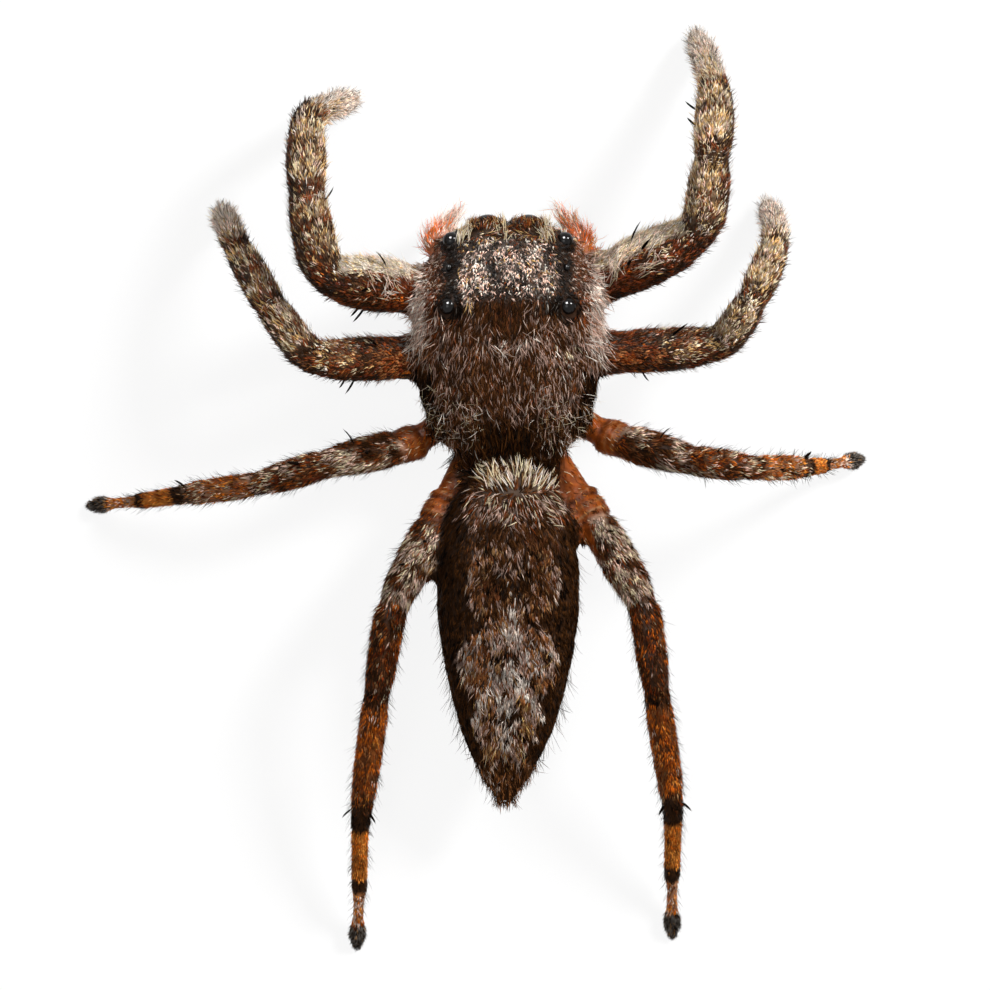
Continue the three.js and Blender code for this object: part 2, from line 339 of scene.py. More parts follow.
JOINT_GAP = 0.045
FAR_SHARE = 0.9  # the end of a limb is the part of it that is at least this share of its length away


def joint_between(first, second):
    """The middle of the flat face where one part of a limb meets the next."""
    tree, _ = surface_of([second])
    points = np.unique(solid_points(first).round(4), axis=0)
    return np.mean([p for p in points if tree.find_nearest(p)[3] < JOINT_GAP], axis=0)


def far_end(name, joint):
    points = np.unique(solid_points(name).round(4), axis=0)
    away = length_of(points - joint)
    return points[away > FAR_SHARE * away.max()].mean(axis=0)


def limb_joints(parts):
    inner = [joint_between(a, b) for a, b in zip(parts, parts[1:])]
    return np.array([far_end(parts[0], inner[0]), *inner, far_end(parts[-1], inner[-1])])


LIMBS = {leg: [f"{leg}_{part}" for part in LEG_PARTS] for leg in LEGS}
LIMBS.update({palp: [f"{palp}_arm", f"{palp}_tip"] for palp in PALPS})
LIMB_NAMES = list(LIMBS)
JOINTS = {name: limb_joints(parts) for name, parts in LIMBS.items()}


def pair_of(name):
    """Which pair of legs a limb is in, from 1 to 4, and 0 for a feeler."""
    return 0 if name in PALPS else int(name[4])


PAIR = np.array([pair_of(name) for name in LIMB_NAMES] + [-1])  # by limb; the body's is the last


# ---- the eyes' places ----

# The way each eye looks (for the left one) and how far from that way the skin's rim begins, in degrees.
EYE_LOOKS = {
    "front_middle": ((0.04, -1, 0.12), 60),
    "front_side": ((0.4, -0.75, 0.5), 82),
    "rear_small": ((0.7, -0.3, 0.65), 75),
    "rear_side": ((0.75, 0.2, 0.62), 84),
}


def find_eyes():
    """For each eye its middle, its radius, the way it looks and where its rim begins."""
    found = {}
    for name in EYES:
        low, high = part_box(name)
        kind, side = name[4:].rsplit("_", 1)
        look, rim = EYE_LOOKS[kind]
        look = np.array(look) * (1 if side == "left" else -1, 1, 1)
        radius = (high.x - low.x) / MM / 2
        found[name] = (from_frame((low + high) / 2), radius, unit(look), math.radians(rim))
    return found


EYE_PLACES = find_eyes()
SMALL_EYES = [name for name in EYES if name not in BIG_EYES]


def from_eye(points, name):
    """How far points are from an eye's middle, and how far round from the way that it looks."""
    centre, _, look, _ = EYE_PLACES[name]
    away = points - centre
    distance = length_of(away)
    turn = np.arccos(np.clip(dot(away, look) / np.maximum(distance, 1e-6), -1, 1))
    return distance, turn


# ---- the skin ----

VOXEL = 0.058
JAW_VOXEL = 0.03
LENS_SIZE = 1.02  # how large a lens is beside its solid
SEAM_CLOSING = 0.03  # the solids are swelled this much, so that the skin runs over their seams
SOFTENING = 12
JAW_SOFTENING = 18
STATIONS = 8  # along each part of a limb
BODY_DEPTH = 0.05
ABDOMEN_DEPTH = 0.035
JOINT_NARROWING = 0.016
THINNEST = 0.02
MOST_CHANGE = (0.3, 1.6)  # the least and the most that a limb's thickness is multiplied by
SOLE_FROM = 4.5  # where along a leg its sole begins
SOLE_PRESS = 0.012  # how far a sole is pressed below the floor before it is made flat
FOOT_LEAN = (3.6, 4.6)  # where along a leg it starts and ends leaning down to the floor
RIM_REACH = 0.16  # how far from a lens the skin is moved
RIM_HEIGHT = 0.035
LENS_SEAT = 0.05  # how deep in a lens the skin passes under it

# How deep the coat is on each limb, by the place along it, and how thick the thin feet are inside it.
FRONT_DEPTH = ((0, 1, 2, 3, 4, 5), (0.045, 0.05, 0.04, 0.03, 0.03, 0.035))
HIND_DEPTH = ((0, 1, 2, 2.8, 3, 5), (0.04, 0.045, 0.045, 0.045, 0.05, 0.07))
PALP_DEPTH = ((0, 1, 2), (0.06, 0.1, 0.14))
COAT_DEPTHS = (PALP_DEPTH, FRONT_DEPTH, FRONT_DEPTH, HIND_DEPTH, HIND_DEPTH)
HIND_FOOT = (
    (2.95, 3.1, 3.5, 3.95, 4.1, 4.45, 4.65, 4.85, 5.0),
    (0.25, 0.165, 0.15, 0.145, 0.095, 0.085, 0.11, 0.14, 0.12),
)

# Folds across the bare roots of the hind legs: place along the leg, height and width.
FOLDS = (
    (0.0, 0.03, 0.02),
    (0.05, -0.05, 0.02),
    (0.12, 0.02, 0.03),
    (0.19, 0.03, 0.015),
    (0.24, -0.05, 0.02),
    (1.0, -0.03, 0.02),
)


def leg_folds(along):
    return sum(height * hump(along, place, width) for place, height, width in FOLDS)


def copy_of_solids(names, swell):
    bm = bmesh.new()
    for name in names:
        bm.from_mesh(frame["nodes"][name].data)
    bmesh.ops.remove_doubles(bm, verts=bm.verts, dist=2e-7)
    bmesh.ops.translate(bm, verts=bm.verts, vec=-Vector(HOME))
    bmesh.ops.scale(bm, verts=bm.verts, vec=(1 / MM, 1 / MM, 1 / MM))
    bm.normal_update()
    for vert in bm.verts:
        vert.co += vert.normal * swell
    return mesh_from(bm, "flesh")


def remeshed(mesh, voxel):
    holder = new_object("flesh", mesh)
    change = holder.modifiers.new("even", "REMESH")
    change.mode = "VOXEL"
    change.voxel_size = voxel
    ready = holder.evaluated_get(bpy.context.evaluated_depsgraph_get())
    made = bpy.data.meshes.new_from_object(ready)
    bpy.data.objects.remove(holder)
    return made


def softened(points, edges, times):
    """Each point goes halfway to the mean of its neighbours, so many times."""
    count = np.bincount(edges.ravel(), minlength=len(points))[:, None]
    for _ in range(times):
        total = np.zeros_like(points)
        np.add.at(total, edges[:, 0], points[edges[:, 1]])
        np.add.at(total, edges[:, 1], points[edges[:, 0]])
        points = points + 0.5 * (total / np.maximum(count, 1) - points)
    return points


def mean_by(index, values, bins):
    count = np.maximum(np.bincount(index, minlength=bins), 1)
    return np.bincount(index, values, minlength=bins) / count


def between(places, knots, rows):
    """Rows of three numbers read between knots at the given places."""
    return np.stack([np.interp(places, knots, rows[:, i]) for i in range(3)], axis=1)


def line_ahead(line):
    """The way that a line runs at each of its points, made a little smoother."""
    ahead = unit(np.gradient(line, axis=0))
    for _ in range(2):
        ahead[1:-1] = unit(ahead[:-2] + 2 * ahead[1:-1] + ahead[2:])
    return ahead


def wanted_thickness(swelled, stations, pair):
    """How thick a limb is at each station without its coat: narrow at its joints, thin in a hind foot."""
    wanted = swelled - SEAM_CLOSING - np.interp(stations, *COAT_DEPTHS[pair])
    for joint in range(1, len(stations) // STATIONS):
        wanted -= JOINT_NARROWING * hump(stations, joint, 0.07)
    return np.minimum(wanted, np.interp(stations, *HIND_FOOT, left=np.inf)) if pair > 2 else wanted


class Skin:
    """The skin's mesh with, for each point, the part of the spider that it covers."""

    def __init__(self):
        self.mesh = remeshed(copy_of_solids(FLESH + EYES, SEAM_CLOSING), VOXEL)
        self.edges = edges_of(self.mesh)
        self.rough = points_of(self.mesh)
        self.points = softened(self.rough, self.edges, SOFTENING)
        self.find_parts()
        self.find_limbs()
        self.draw_in_body()
        for number, name in enumerate(LIMB_NAMES):
            self.draw_in_limb(number, name)
        self.points = softened(self.points, self.edges, 2)
        self.set_down_feet()
        self.fit_eyes()
        set_points(self.mesh, self.points)
        self.normals = normals_of(self.mesh)
        self.round = np.arctan2(dot(self.radial, self.forward), dot(self.radial, self.upward))

    def find_parts(self):
        tree, owner = surface_of(FLESH)
        self.part = owner[np.array([tree.find_nearest(p)[2] for p in self.points])]

    def find_limbs(self):
        """For each point on a limb: its limb, its place along it and its place round it."""
        count = len(self.points)
        self.limb = np.full(count, -1)
        self.along = np.zeros(count)
        for number, (name, parts) in enumerate(LIMBS.items()):
            joints = JOINTS[name]
            for index, part in enumerate(parts):
                here = self.part == FLESH.index(part)
                run = joints[index + 1] - joints[index]
                share = dot(self.points[here] - joints[index], run) / dot(run, run)
                self.limb[here] = number
                self.along[here] = index + np.clip(share, 0, 0.999)
        self.axis, self.radial, self.upward, self.forward = (np.zeros((count, 3)) for _ in range(4))

    def draw_in_body(self):
        set_points(self.mesh, self.points)
        inward = -normals_of(self.mesh)
        depth = np.full(len(self.points), BODY_DEPTH)
        depth[self.part == FLESH.index("abdomen")] = ABDOMEN_DEPTH
        depth[self.limb >= 0] = 0
        depth = softened((depth + SEAM_CLOSING)[:, None], self.edges, 6)
        depth[self.limb >= 0] = 0
        self.points = self.points + inward * depth

    def draw_in_limb(self, number, name):
        """Sets how thick a limb is under its coat, station by station along its middle line."""
        here = np.flatnonzero(self.limb == number)
        along, joints, pair = self.along[here], JOINTS[name], pair_of(name)
        parts = np.arange(len(joints))
        stations = (np.arange(parts[-1] * STATIONS) + 0.5) / STATIONS
        ahead = line_ahead(between(stations, parts, joints))
        centre = between(along, parts, joints)
        axis = unit(between(along, stations, ahead))
        index = np.minimum((along * STATIONS).astype(int), len(stations) - 1)
        swelled = length_of(square_to(self.rough[here] - centre, axis))
        out = square_to(self.points[here] - centre, axis)
        thick = length_of(out)
        wanted = wanted_thickness(mean_by(index, swelled, len(stations)), stations, pair)
        change = wanted / np.maximum(mean_by(index, thick, len(stations)), THINNEST)
        scale = np.interp(along, stations, np.clip(change, *MOST_CHANGE))
        scale = 1 + (scale - 1) * step(along, 0.0, 0.25)
        if pair == 0:
            scale = 1 + (scale - 1) * step(along, 0.3, 0.9)
        up = unit(np.array([0, 0, 1.0]) - axis * axis[:, 2:3])
        forward = np.cross(axis, up) * (1 if name.endswith("left") else -1)
        if pair > 2:
            outer = step(dot(unit(out), forward), -0.45, 0.1)
            scale = scale + outer * leg_folds(along) / np.maximum(thick, 0.05)
        run = axis * dot(self.points[here] - centre, axis)[:, None]
        self.points[here] = centre + run + out * scale[:, None]
        self.axis[here], self.radial[here] = axis, unit(out)
        self.upward[here], self.forward[here] = up, forward

    def set_down_feet(self):
        """The thin feet lean down until their soles are on the floor, and the soles are flat."""
        for number in range(len(LEGS)):
            leg = np.flatnonzero(self.limb == number)
            sole = leg[self.along[leg] > SOLE_FROM]
            drop = self.points[sole, 2].min() + SOLE_PRESS
            self.points[leg, 2] -= drop * step(self.along[leg], *FOOT_LEAN)
        self.points[:, 2] = np.maximum(self.points[:, 2], SOLE)

    def fit_eyes(self):
        """Skin passes under each eye's lens and stands up round it as a rim or a lid."""
        for name, (centre, radius, _, rim) in EYE_PLACES.items():
            distance, turn = from_eye(self.points, name)
            near = distance < radius + RIM_REACH
            under = (distance < radius + 0.03) & (turn < rim)
            away = unit(self.points - centre)
            edge = hump(turn, rim + 0.22, 0.3)
            lid = np.maximum(distance, radius + 0.02 + RIM_HEIGHT * edge)
            new = np.where(under, radius - LENS_SEAT, lid)
            change = np.flatnonzero(near & (under | (turn < rim + 0.9)))
            self.points[change] = centre + away[change] * new[change, None]


skin = Skin()
PART_NAME = np.array(FLESH)[skin.part]
ON_CARAPACE = PART_NAME == "carapace"
ON_ABDOMEN = PART_NAME == "abdomen"
LEFT_RIGHT = np.abs(skin.points[:, 0])
BACK = skin.points[:, 1]
UP = skin.normals[:, 2]
LEG_PAIR = PAIR[skin.limb]


# ---- markings ----
# One set of colours serves the skin and the coat. A palette holds, for each place, how common
# each hair colour is there; the skin takes the mean and each hair draws one.

COLOURS = {
    name: linear(code)
    for name, code in {
        "black": "#0d0704",
        "soot": "#1b130d",
        "dark": "#2f1b0b",
        "bark": "#4a2c14",
        "brown": "#6a4429",
        "fawn": "#9a744e",
        "tan": "#9a6238",
        "russet": "#693c22",
        "mauve": "#a88a7c",
        "pale": "#d2bcac",
        "white": "#f0e6da",
        "cream": "#dfcfac",
        "gold": "#cba468",
        "pink": "#ecc8b6",
        "rust": "#823c14",
        "red": "#6c2a0e",
        "orange": "#c06018",
        "amber": "#d88a3a",
        "coral": "#e8743a",
        "grey": "#5c5650",
        "silver": "#c0b4aa",
    }.items()
}

# The pale band down the abdomen: place along it and half width.
BAND = (
    (1.5, 1.68, 1.95, 2.3, 2.62, 2.78, 2.92, 3.05, 3.25, 3.54, 3.82)
    + (4.1, 4.28, 4.34, 4.5, 4.78, 4.85, 5.1, 5.18, 5.48, 5.58),
    (0.6, 0.72, 0.86, 0.87, 0.78, 0.6, 0.46, 0.62, 0.82, 0.98, 0.88)
    + (0.78, 0.66, 0.56, 0.6, 0.72, 0.54, 0.56, 0.42, 0.38, 0.1),
)
MIDLINE = ((0.4, 1.0, 2.3, 3.5, 4.7, 6.0), (-0.17, -0.13, -0.09, 0.0, 0.03, 0.07))
MIDDLE_LIGHT = 0.12  # a colour this light is as common on bright hairs as on the skin
# Light spots on the band's middle line: place along it, half length, half width and strength.
SPOTS = (
    (2.73, 0.07, 0.08, 0.7),
    (3.12, 0.2, 0.16, 0.6),
    (3.9, 0.14, 0.12, 1.0),
    (4.43, 0.15, 0.15, 1.0),
    (4.95, 0.13, 0.08, 0.8),
    (5.25, 0.1, 0.07, 0.5),
)
# Dark strokes beside the middle line: place along it, distance from the line, slant, length and width.
STROKES = (
    (1.75, 0.2, 0.0, 0.14, 0.06),
    (2.2, 0.22, 0.0, 0.24, 0.2),
    (1.9, 0.47, 0.1, 0.16, 0.05),
    (2.92, 0.5, 0.5, 0.12, 0.14),
    (3.26, 0.4, 0.0, 0.08, 0.07),
    (3.56, 0.1, 0.0, 0.12, 0.12),
    (3.98, 0.34, 0.6, 0.14, 0.11),
    (4.14, 0.52, 1.0, 0.16, 0.06),
    (4.66, 0.3, 0.3, 0.08, 0.07),
    (4.74, 0.1, 0.3, 0.07, 0.05),
    (5.0, 0.28, 0.4, 0.1, 0.06),
)


class Palette:
    """For each of so many places, the share of each colour in it."""

    def __init__(self, count, shares):
        self.count = count
        self.table = np.array([COLOURS[name] for name, _ in shares])
        wide = [np.broadcast_to(np.maximum(share, 0), (count,)) for _, share in shares]
        self.shares = np.array(wide, float)

    def mean(self):
        shares = self.shares / np.maximum(self.shares.sum(axis=0), 1e-9)
        return sum(share[:, None] * colour for share, colour in zip(shares, self.table))

    def draw(self, bright):
        """One colour for each hair; a bright hair is more likely to be a light one."""
        light = (self.table.mean(axis=1) / MIDDLE_LIGHT) ** bright
        shares = np.cumsum(self.shares * light[:, None], axis=0)
        pick = rng.random(self.count) * shares[-1]
        index = (pick[None, :] > shares).sum(axis=0).clip(0, len(self.table) - 1)
        return self.table[index]


def abdomen_line(points):
    """How far points are to the side of the abdomen's middle line, which leans left towards the tail."""
    return points[:, 0] - np.interp(points[:, 1], *MIDLINE)


# Patches of bright scales among the eyes: middle, half width, half length and strength.
SCALE_PATCHES = (
    (0.66, -3.62, 0.28, 0.42, 1.0),
    (0.8, -3.25, 0.16, 0.2, 0.9),
    (0.42, -4.04, 0.2, 0.26, 0.95),
    (0.5, -3.35, 0.2, 0.2, 0.7),
    (-0.1, -3.74, 0.34, 0.28, 0.95),
    (-0.45, -3.62, 0.36, 0.36, 1.0),
    (-0.3, -3.3, 0.34, 0.16, 0.7),
    (-0.8, -3.46, 0.18, 0.28, 0.9),
    (0.05, -4.0, 0.2, 0.18, 0.6),
    (-0.45, -4.08, 0.24, 0.18, 0.6),
    (0.72, -3.0, 0.11, 0.08, 1.0),
)


def bright_scales(points):
    x, y = points[:, 0], points[:, 1]
    return strongest(
        strength * hump(x, middle_x, wide) * hump(y, middle_y, long)
        for middle_x, middle_y, wide, long, strength in SCALE_PATCHES
    )


def eye_ring(points, name):
    """How near each point is to a small eye, whose rim is black."""
    centre, radius, _, _ = EYE_PLACES[name]
    distance, _ = from_eye(points, name)
    inner = step(np.abs(points[:, 0]), abs(centre[0]) + 0.05, abs(centre[0]) - 0.15)
    return step(distance, radius + 0.11 + 0.08 * inner, radius + 0.03)


def carapace_palette(points, normals):
    """Grey-brown fur, bright scales among the eyes, dark low sides and a pale fringe, with painted shade
    where the sides face down and painted light on the spider's right.
    """
    x, y = np.abs(points[:, 0]), points[:, 1]
    blotch = grain(points, 0.22, 1)
    fine = grain(points, 0.09, 2)
    ring = strongest(eye_ring(points, name) for name in SMALL_EYES)
    eyes = step(y, -3.02, -3.2) * step(x, 1.0, 0.88)
    lit = bright_scales(points)
    eyes = np.maximum(eyes, lit * step(y, -2.9, -2.95)) * (1 - 0.9 * ring)
    specks = (0.8 * grain(points, 0.15, 3) + 0.5 * fine) * step(lit, 0.1, 0.4)
    lit = np.clip(1.3 * lit - 0.15 + specks, 0.05, 1.3)
    lit = lit * (1 + 0.4 * step(points[:, 0], -0.1, 0.3))
    beside = step(y, -2.7, -2.9) * step(x, 0.85, 0.97) * step(x, 1.2, 1.1)
    beside = np.maximum(beside, hump(x, 0.8, 0.16) * hump(y, -2.98, 0.13) * (1 - lit))
    outer = step(y, -2.3, -2.7) * step(x, 1.1, 1.2) * step(x, 1.6, 1.45) * (1 - ring)
    fringe = step(x, 1.42, 1.58) * step(y, -1.95, -2.4)
    patch = hump(x, 0, 0.6) * step(y, -3.2, -3.05) * step(y, -2.32, -2.5)
    crescent = hump(y + 0.35 * x, -2.14, 0.13) * step(x, 0.8, 0.5) * np.clip(0.8 + 0.8 * blotch, 0, 1)
    streaks = hump(x, 1.15, 0.3) * step(y, -2.8, -2.3) * step(y, -1.3, -1.7)
    # The pale streaks lie on both sides but are stronger on the spider's right, as painted light.
    streaks = streaks * np.where(points[:, 0] < 0, 1.0, 0.3) * step(fine, -0.2, 0.2)
    rear = step(y, -1.25, -0.8) * step(x, 0.35, 0.6)
    slope = step(y, -0.9, -0.6) * step(x, 0.66, 0.45)
    low = step(x, 1.3, 1.44) * step(y, -2.0, -1.6) + step(x, 1.1, 1.25) * step(y, -1.4, -1.0)
    # Skin over the sides that faces down is darkened as well, as painted shade.
    low = np.clip(low + step(normals[:, 2], 0.1, -0.1) * step(y, -2.4, -1.8), 0, 1)
    front = step(y, -4.08, -4.2)
    others = eyes + beside + outer + fringe + patch + 0.7 * crescent + low + slope + front + ring
    plain = np.clip(1 - others, 0, 1)
    # Painted light: the spider's right side gets more mauve and pale hair.
    painted_light_side = step(points[:, 0], 0.3, -1.0)
    return [
        ("brown", plain * (0.65 + 0.35 * blotch) + 0.3 * rear + outer * 0.4 + eyes * 0.12),
        ("bark", plain * 0.8 + patch * 0.6 + rear * 0.4 + slope * 0.4 + eyes * 0.15 + outer * 0.2),
        ("dark", plain * 0.45 + patch * 0.95 + slope * 0.7 + low * 0.8 + rear * 0.45 + front * 0.4),
        (
            "mauve",
            plain * (0.45 + 0.3 * fine + 0.25 * step(x, 0.5, 1.0)) * (1 + 0.6 * painted_light_side) + fringe * 0.35
            + crescent * 0.8 + outer * 0.3,
        ),
        (
            "pale",
            plain * (0.03 + 0.08 * fine + 0.1 * painted_light_side) + fringe * 0.4 + crescent * 0.4 + outer * 0.2
            + rear * 0.05,
        ),
        ("white", crescent * 0.15 + fringe * 0.8 + streaks * 0.35),
        ("cream", rear * 0.06 + front * 0.3 + streaks * 0.35),
        ("russet", plain * 0.25 * (1 + blotch) + outer * 0.4 + patch * 0.2 + front * 0.3),
        ("rust", outer * 0.35 + front * 0.35 + plain * 0.04 + eyes * 0.05),
        ("soot", eyes * (1.5 - 0.5 * lit) + beside * 1.3 + slope * 0.3 + crescent * 0.1 + ring * 4),
        ("grey", eyes * (0.5 + 0.3 * lit) + beside * 0.35 + front * 0.1),
        ("pink", eyes * lit * 1.8 + fringe * 0.4 + crescent * 0.2),
        ("gold", eyes * (0.06 + 0.4 * lit) + front * 0.2),
        ("mauve", eyes * (0.1 + 0.5 * lit)),
        ("white", eyes * lit * 1.5),
        ("black", low * 0.9 + slope * 0.4 + eyes * 0.4 + beside * 0.4 + ring * 4),
    ]


def band_share(points):
    """1 in the middle of the abdomen's band, 0 at its edge and less outside it."""
    side = np.abs(abdomen_line(points))
    wave = 0.05 * grain(points, 0.14, 5) + 0.03 * grain(points, 0.06, 25)
    half = np.interp(points[:, 1], BAND[0], BAND[1], left=0.6, right=0.02) + wave
    return 1 - side / half


def abdomen_palette(points, normals):
    """Dark fur with the pale scalloped band, its spots and strokes, and the cream ruff in front."""
    side, y = np.abs(abdomen_line(points)), points[:, 1]
    up = step(normals[:, 2], 0.1, 0.3)
    blotch = grain(points, 0.16, 6)
    fine = grain(points, 0.08, 7)
    inside = band_share(points)
    band = step(inside, -0.01, 0.03) * step(y, 1.45, 1.65) * up
    shoulder = step(y, 1.75, 1.45) * step(side, 1.05, 0.7) * up * (1 - band)
    edge = band * step(inside, 0.2, 0.06)
    flank = band * step(inside, 0.7, 0.42) * (1 - edge)
    front_lobe = step(y, 2.9, 2.7)
    lobe = step(y, 2.95, 3.15) * step(y, 4.5, 4.2)
    tips = hump(y, 3.58, 0.22) + hump(y, 4.72, 0.13) + 0.6 * hump(y, 5.08, 0.1)
    light = strongest(
        strength * hump(y, place, long) * hump(side, 0, wide) for place, long, wide, strength in SPOTS
    )
    wings = hump(side - 0.13 - 0.58 * (y - 3.82), 0, 0.09) * step(y, 3.78, 3.9) * step(y, 4.88, 4.74)
    light = np.maximum(light, 0.55 * wings) * band
    dark = strongest(
        hump(side - slant * (y - place), off, wide) * hump(y, place, long)
        for place, off, slant, long, wide in STROKES
    )
    speckle = step(fine + 0.6 * blotch, 0.3, 0.55)
    dark = band * np.clip(dark * 1.15 + 0.6 * speckle * (1 - light), 0, 1) * (1 - 0.7 * wings)
    rear = step(y, 4.1, 4.5)
    ruff = step(y, 0.75, 0.4) * step(normals[:, 2], -0.2, 0.2) * step(side, 0.85, 0.6)
    tail = step(y, 5.55, 5.75) * step(side, 0.4, 0.2)
    middle = np.clip(band - flank - edge - light, 0, 1)
    keep = 1 - 0.9 * dark
    outside = np.clip(1 - band - shoulder - 0.7 * ruff, 0, 1)
    return [
        ("black", outside * 0.35 + dark * 0.5),
        ("soot", outside * 0.2 + dark * 0.4),
        (
            "dark",
            outside * 1.1 + dark * 2.0 + (middle * 0.25 + flank * 0.2) * front_lobe + shoulder * 0.7,
        ),
        (
            "bark",
            outside * (0.7 + 0.3 * blotch) + (middle * 0.6 + flank * 0.5) * (0.25 + 0.9 * front_lobe)
            + ruff * 0.3,
        ),
        ("bark", tail + shoulder * 0.7),
        (
            "brown",
            keep * (middle * 0.6 + flank * 0.5 + edge * 0.2) + tail * 0.4
            + shoulder * (0.4 + 0.3 * blotch),
        ),
        (
            "fawn",
            keep * (middle * 0.3 + flank * 0.4 * (1 + fine) * (2 - 1.2 * front_lobe) + edge * 0.3)
            + ruff * 0.2,
        ),
        ("tan", keep * flank * (1.1 - 0.8 * front_lobe + 0.9 * lobe) * (1 + 0.5 * blotch)),
        ("mauve", keep * (middle * (0.5 + 0.4 * blotch) + edge * (0.8 - 0.1 * front_lobe))),
        ("mauve", keep * (flank * (0.9 - 0.4 * front_lobe) * (1 + blotch) + middle * lobe * 0.9)),
        (
            "mauve",
            step(y, 1.3, 0.9) * step(y, 0.5, 0.7) * step(side, 1.15, 0.9) * up * 0.5
            * (1 + 1.5 * blotch),
        ),
        ("mauve", shoulder * 0.2 * (1 + fine)),
        ("russet", keep * (flank * 0.35 + middle * 0.2) + ruff * 0.4 + shoulder * 0.2),
        (
            "pale",
            keep * (light * 1.0 + 0.3 * flank * lobe + edge * (0.45 - 0.25 * front_lobe + 1.2 * tips))
            + ruff * 0.3,
        ),
        ("pale", keep * middle * 0.12 * (1 + fine) * (1 + 2 * rear) * (1 - 0.7 * front_lobe)),
        (
            "silver",
            keep * (light * 1.9 + middle * (0.15 + 0.65 * lobe) + flank * lobe * 0.3 * (1 + blotch)),
        ),
        ("white", keep * (light * 1.0 + edge * tips * 0.5) + ruff * 0.15),
        ("pink", keep * edge * tips * 0.4 + flank * rear * 0.15),
        ("gold", keep * rear * flank * 0.2),
        ("cream", ruff * (0.65 + 0.3 * fine)),
    ]


def bare_thigh(points, part, angle):
    """1 on the bare root of a hind leg, which reaches further on the side next to the abdomen."""
    reach = 0.28 * step(points[:, 1], 0.2, 0.5) * step(np.sin(angle), -0.2, -0.75)
    return step(part, 0.34 + reach, 0.16 + reach)


def underside_palette(points):
    """The breast plate and the legs' roots, bare and orange-brown behind, darker near the body's middle
    as painted shade.
    """
    bare = step(np.abs(points[:, 0]), 0.5, 0.75) * step(points[:, 1], -1.75, -1.45)
    mottle = grain(points, 0.3, 28) + 0.6 * grain(points, 0.12, 29)
    # near: where the bare roots are darkened as painted shade under the carapace.
    near = step(np.abs(points[:, 0]), 1.15, 0.85)
    return [
        ("dark", (1 - bare) * (0.8 + 0.2 * grain(points, 0.2, 8)) + bare * 0.1),
        ("bark", 0.4 * (1 - bare)),
        ("fawn", 0.1 * (1 - bare)),
        ("bark", bare * (0.4 + 0.5 * mottle + near)),
        ("dark", bare * near * 0.5),
        ("rust", bare * (1.0 - 0.5 * mottle)),
        ("orange", bare * (0.3 - 0.2 * mottle) * (1 - near)),
    ]


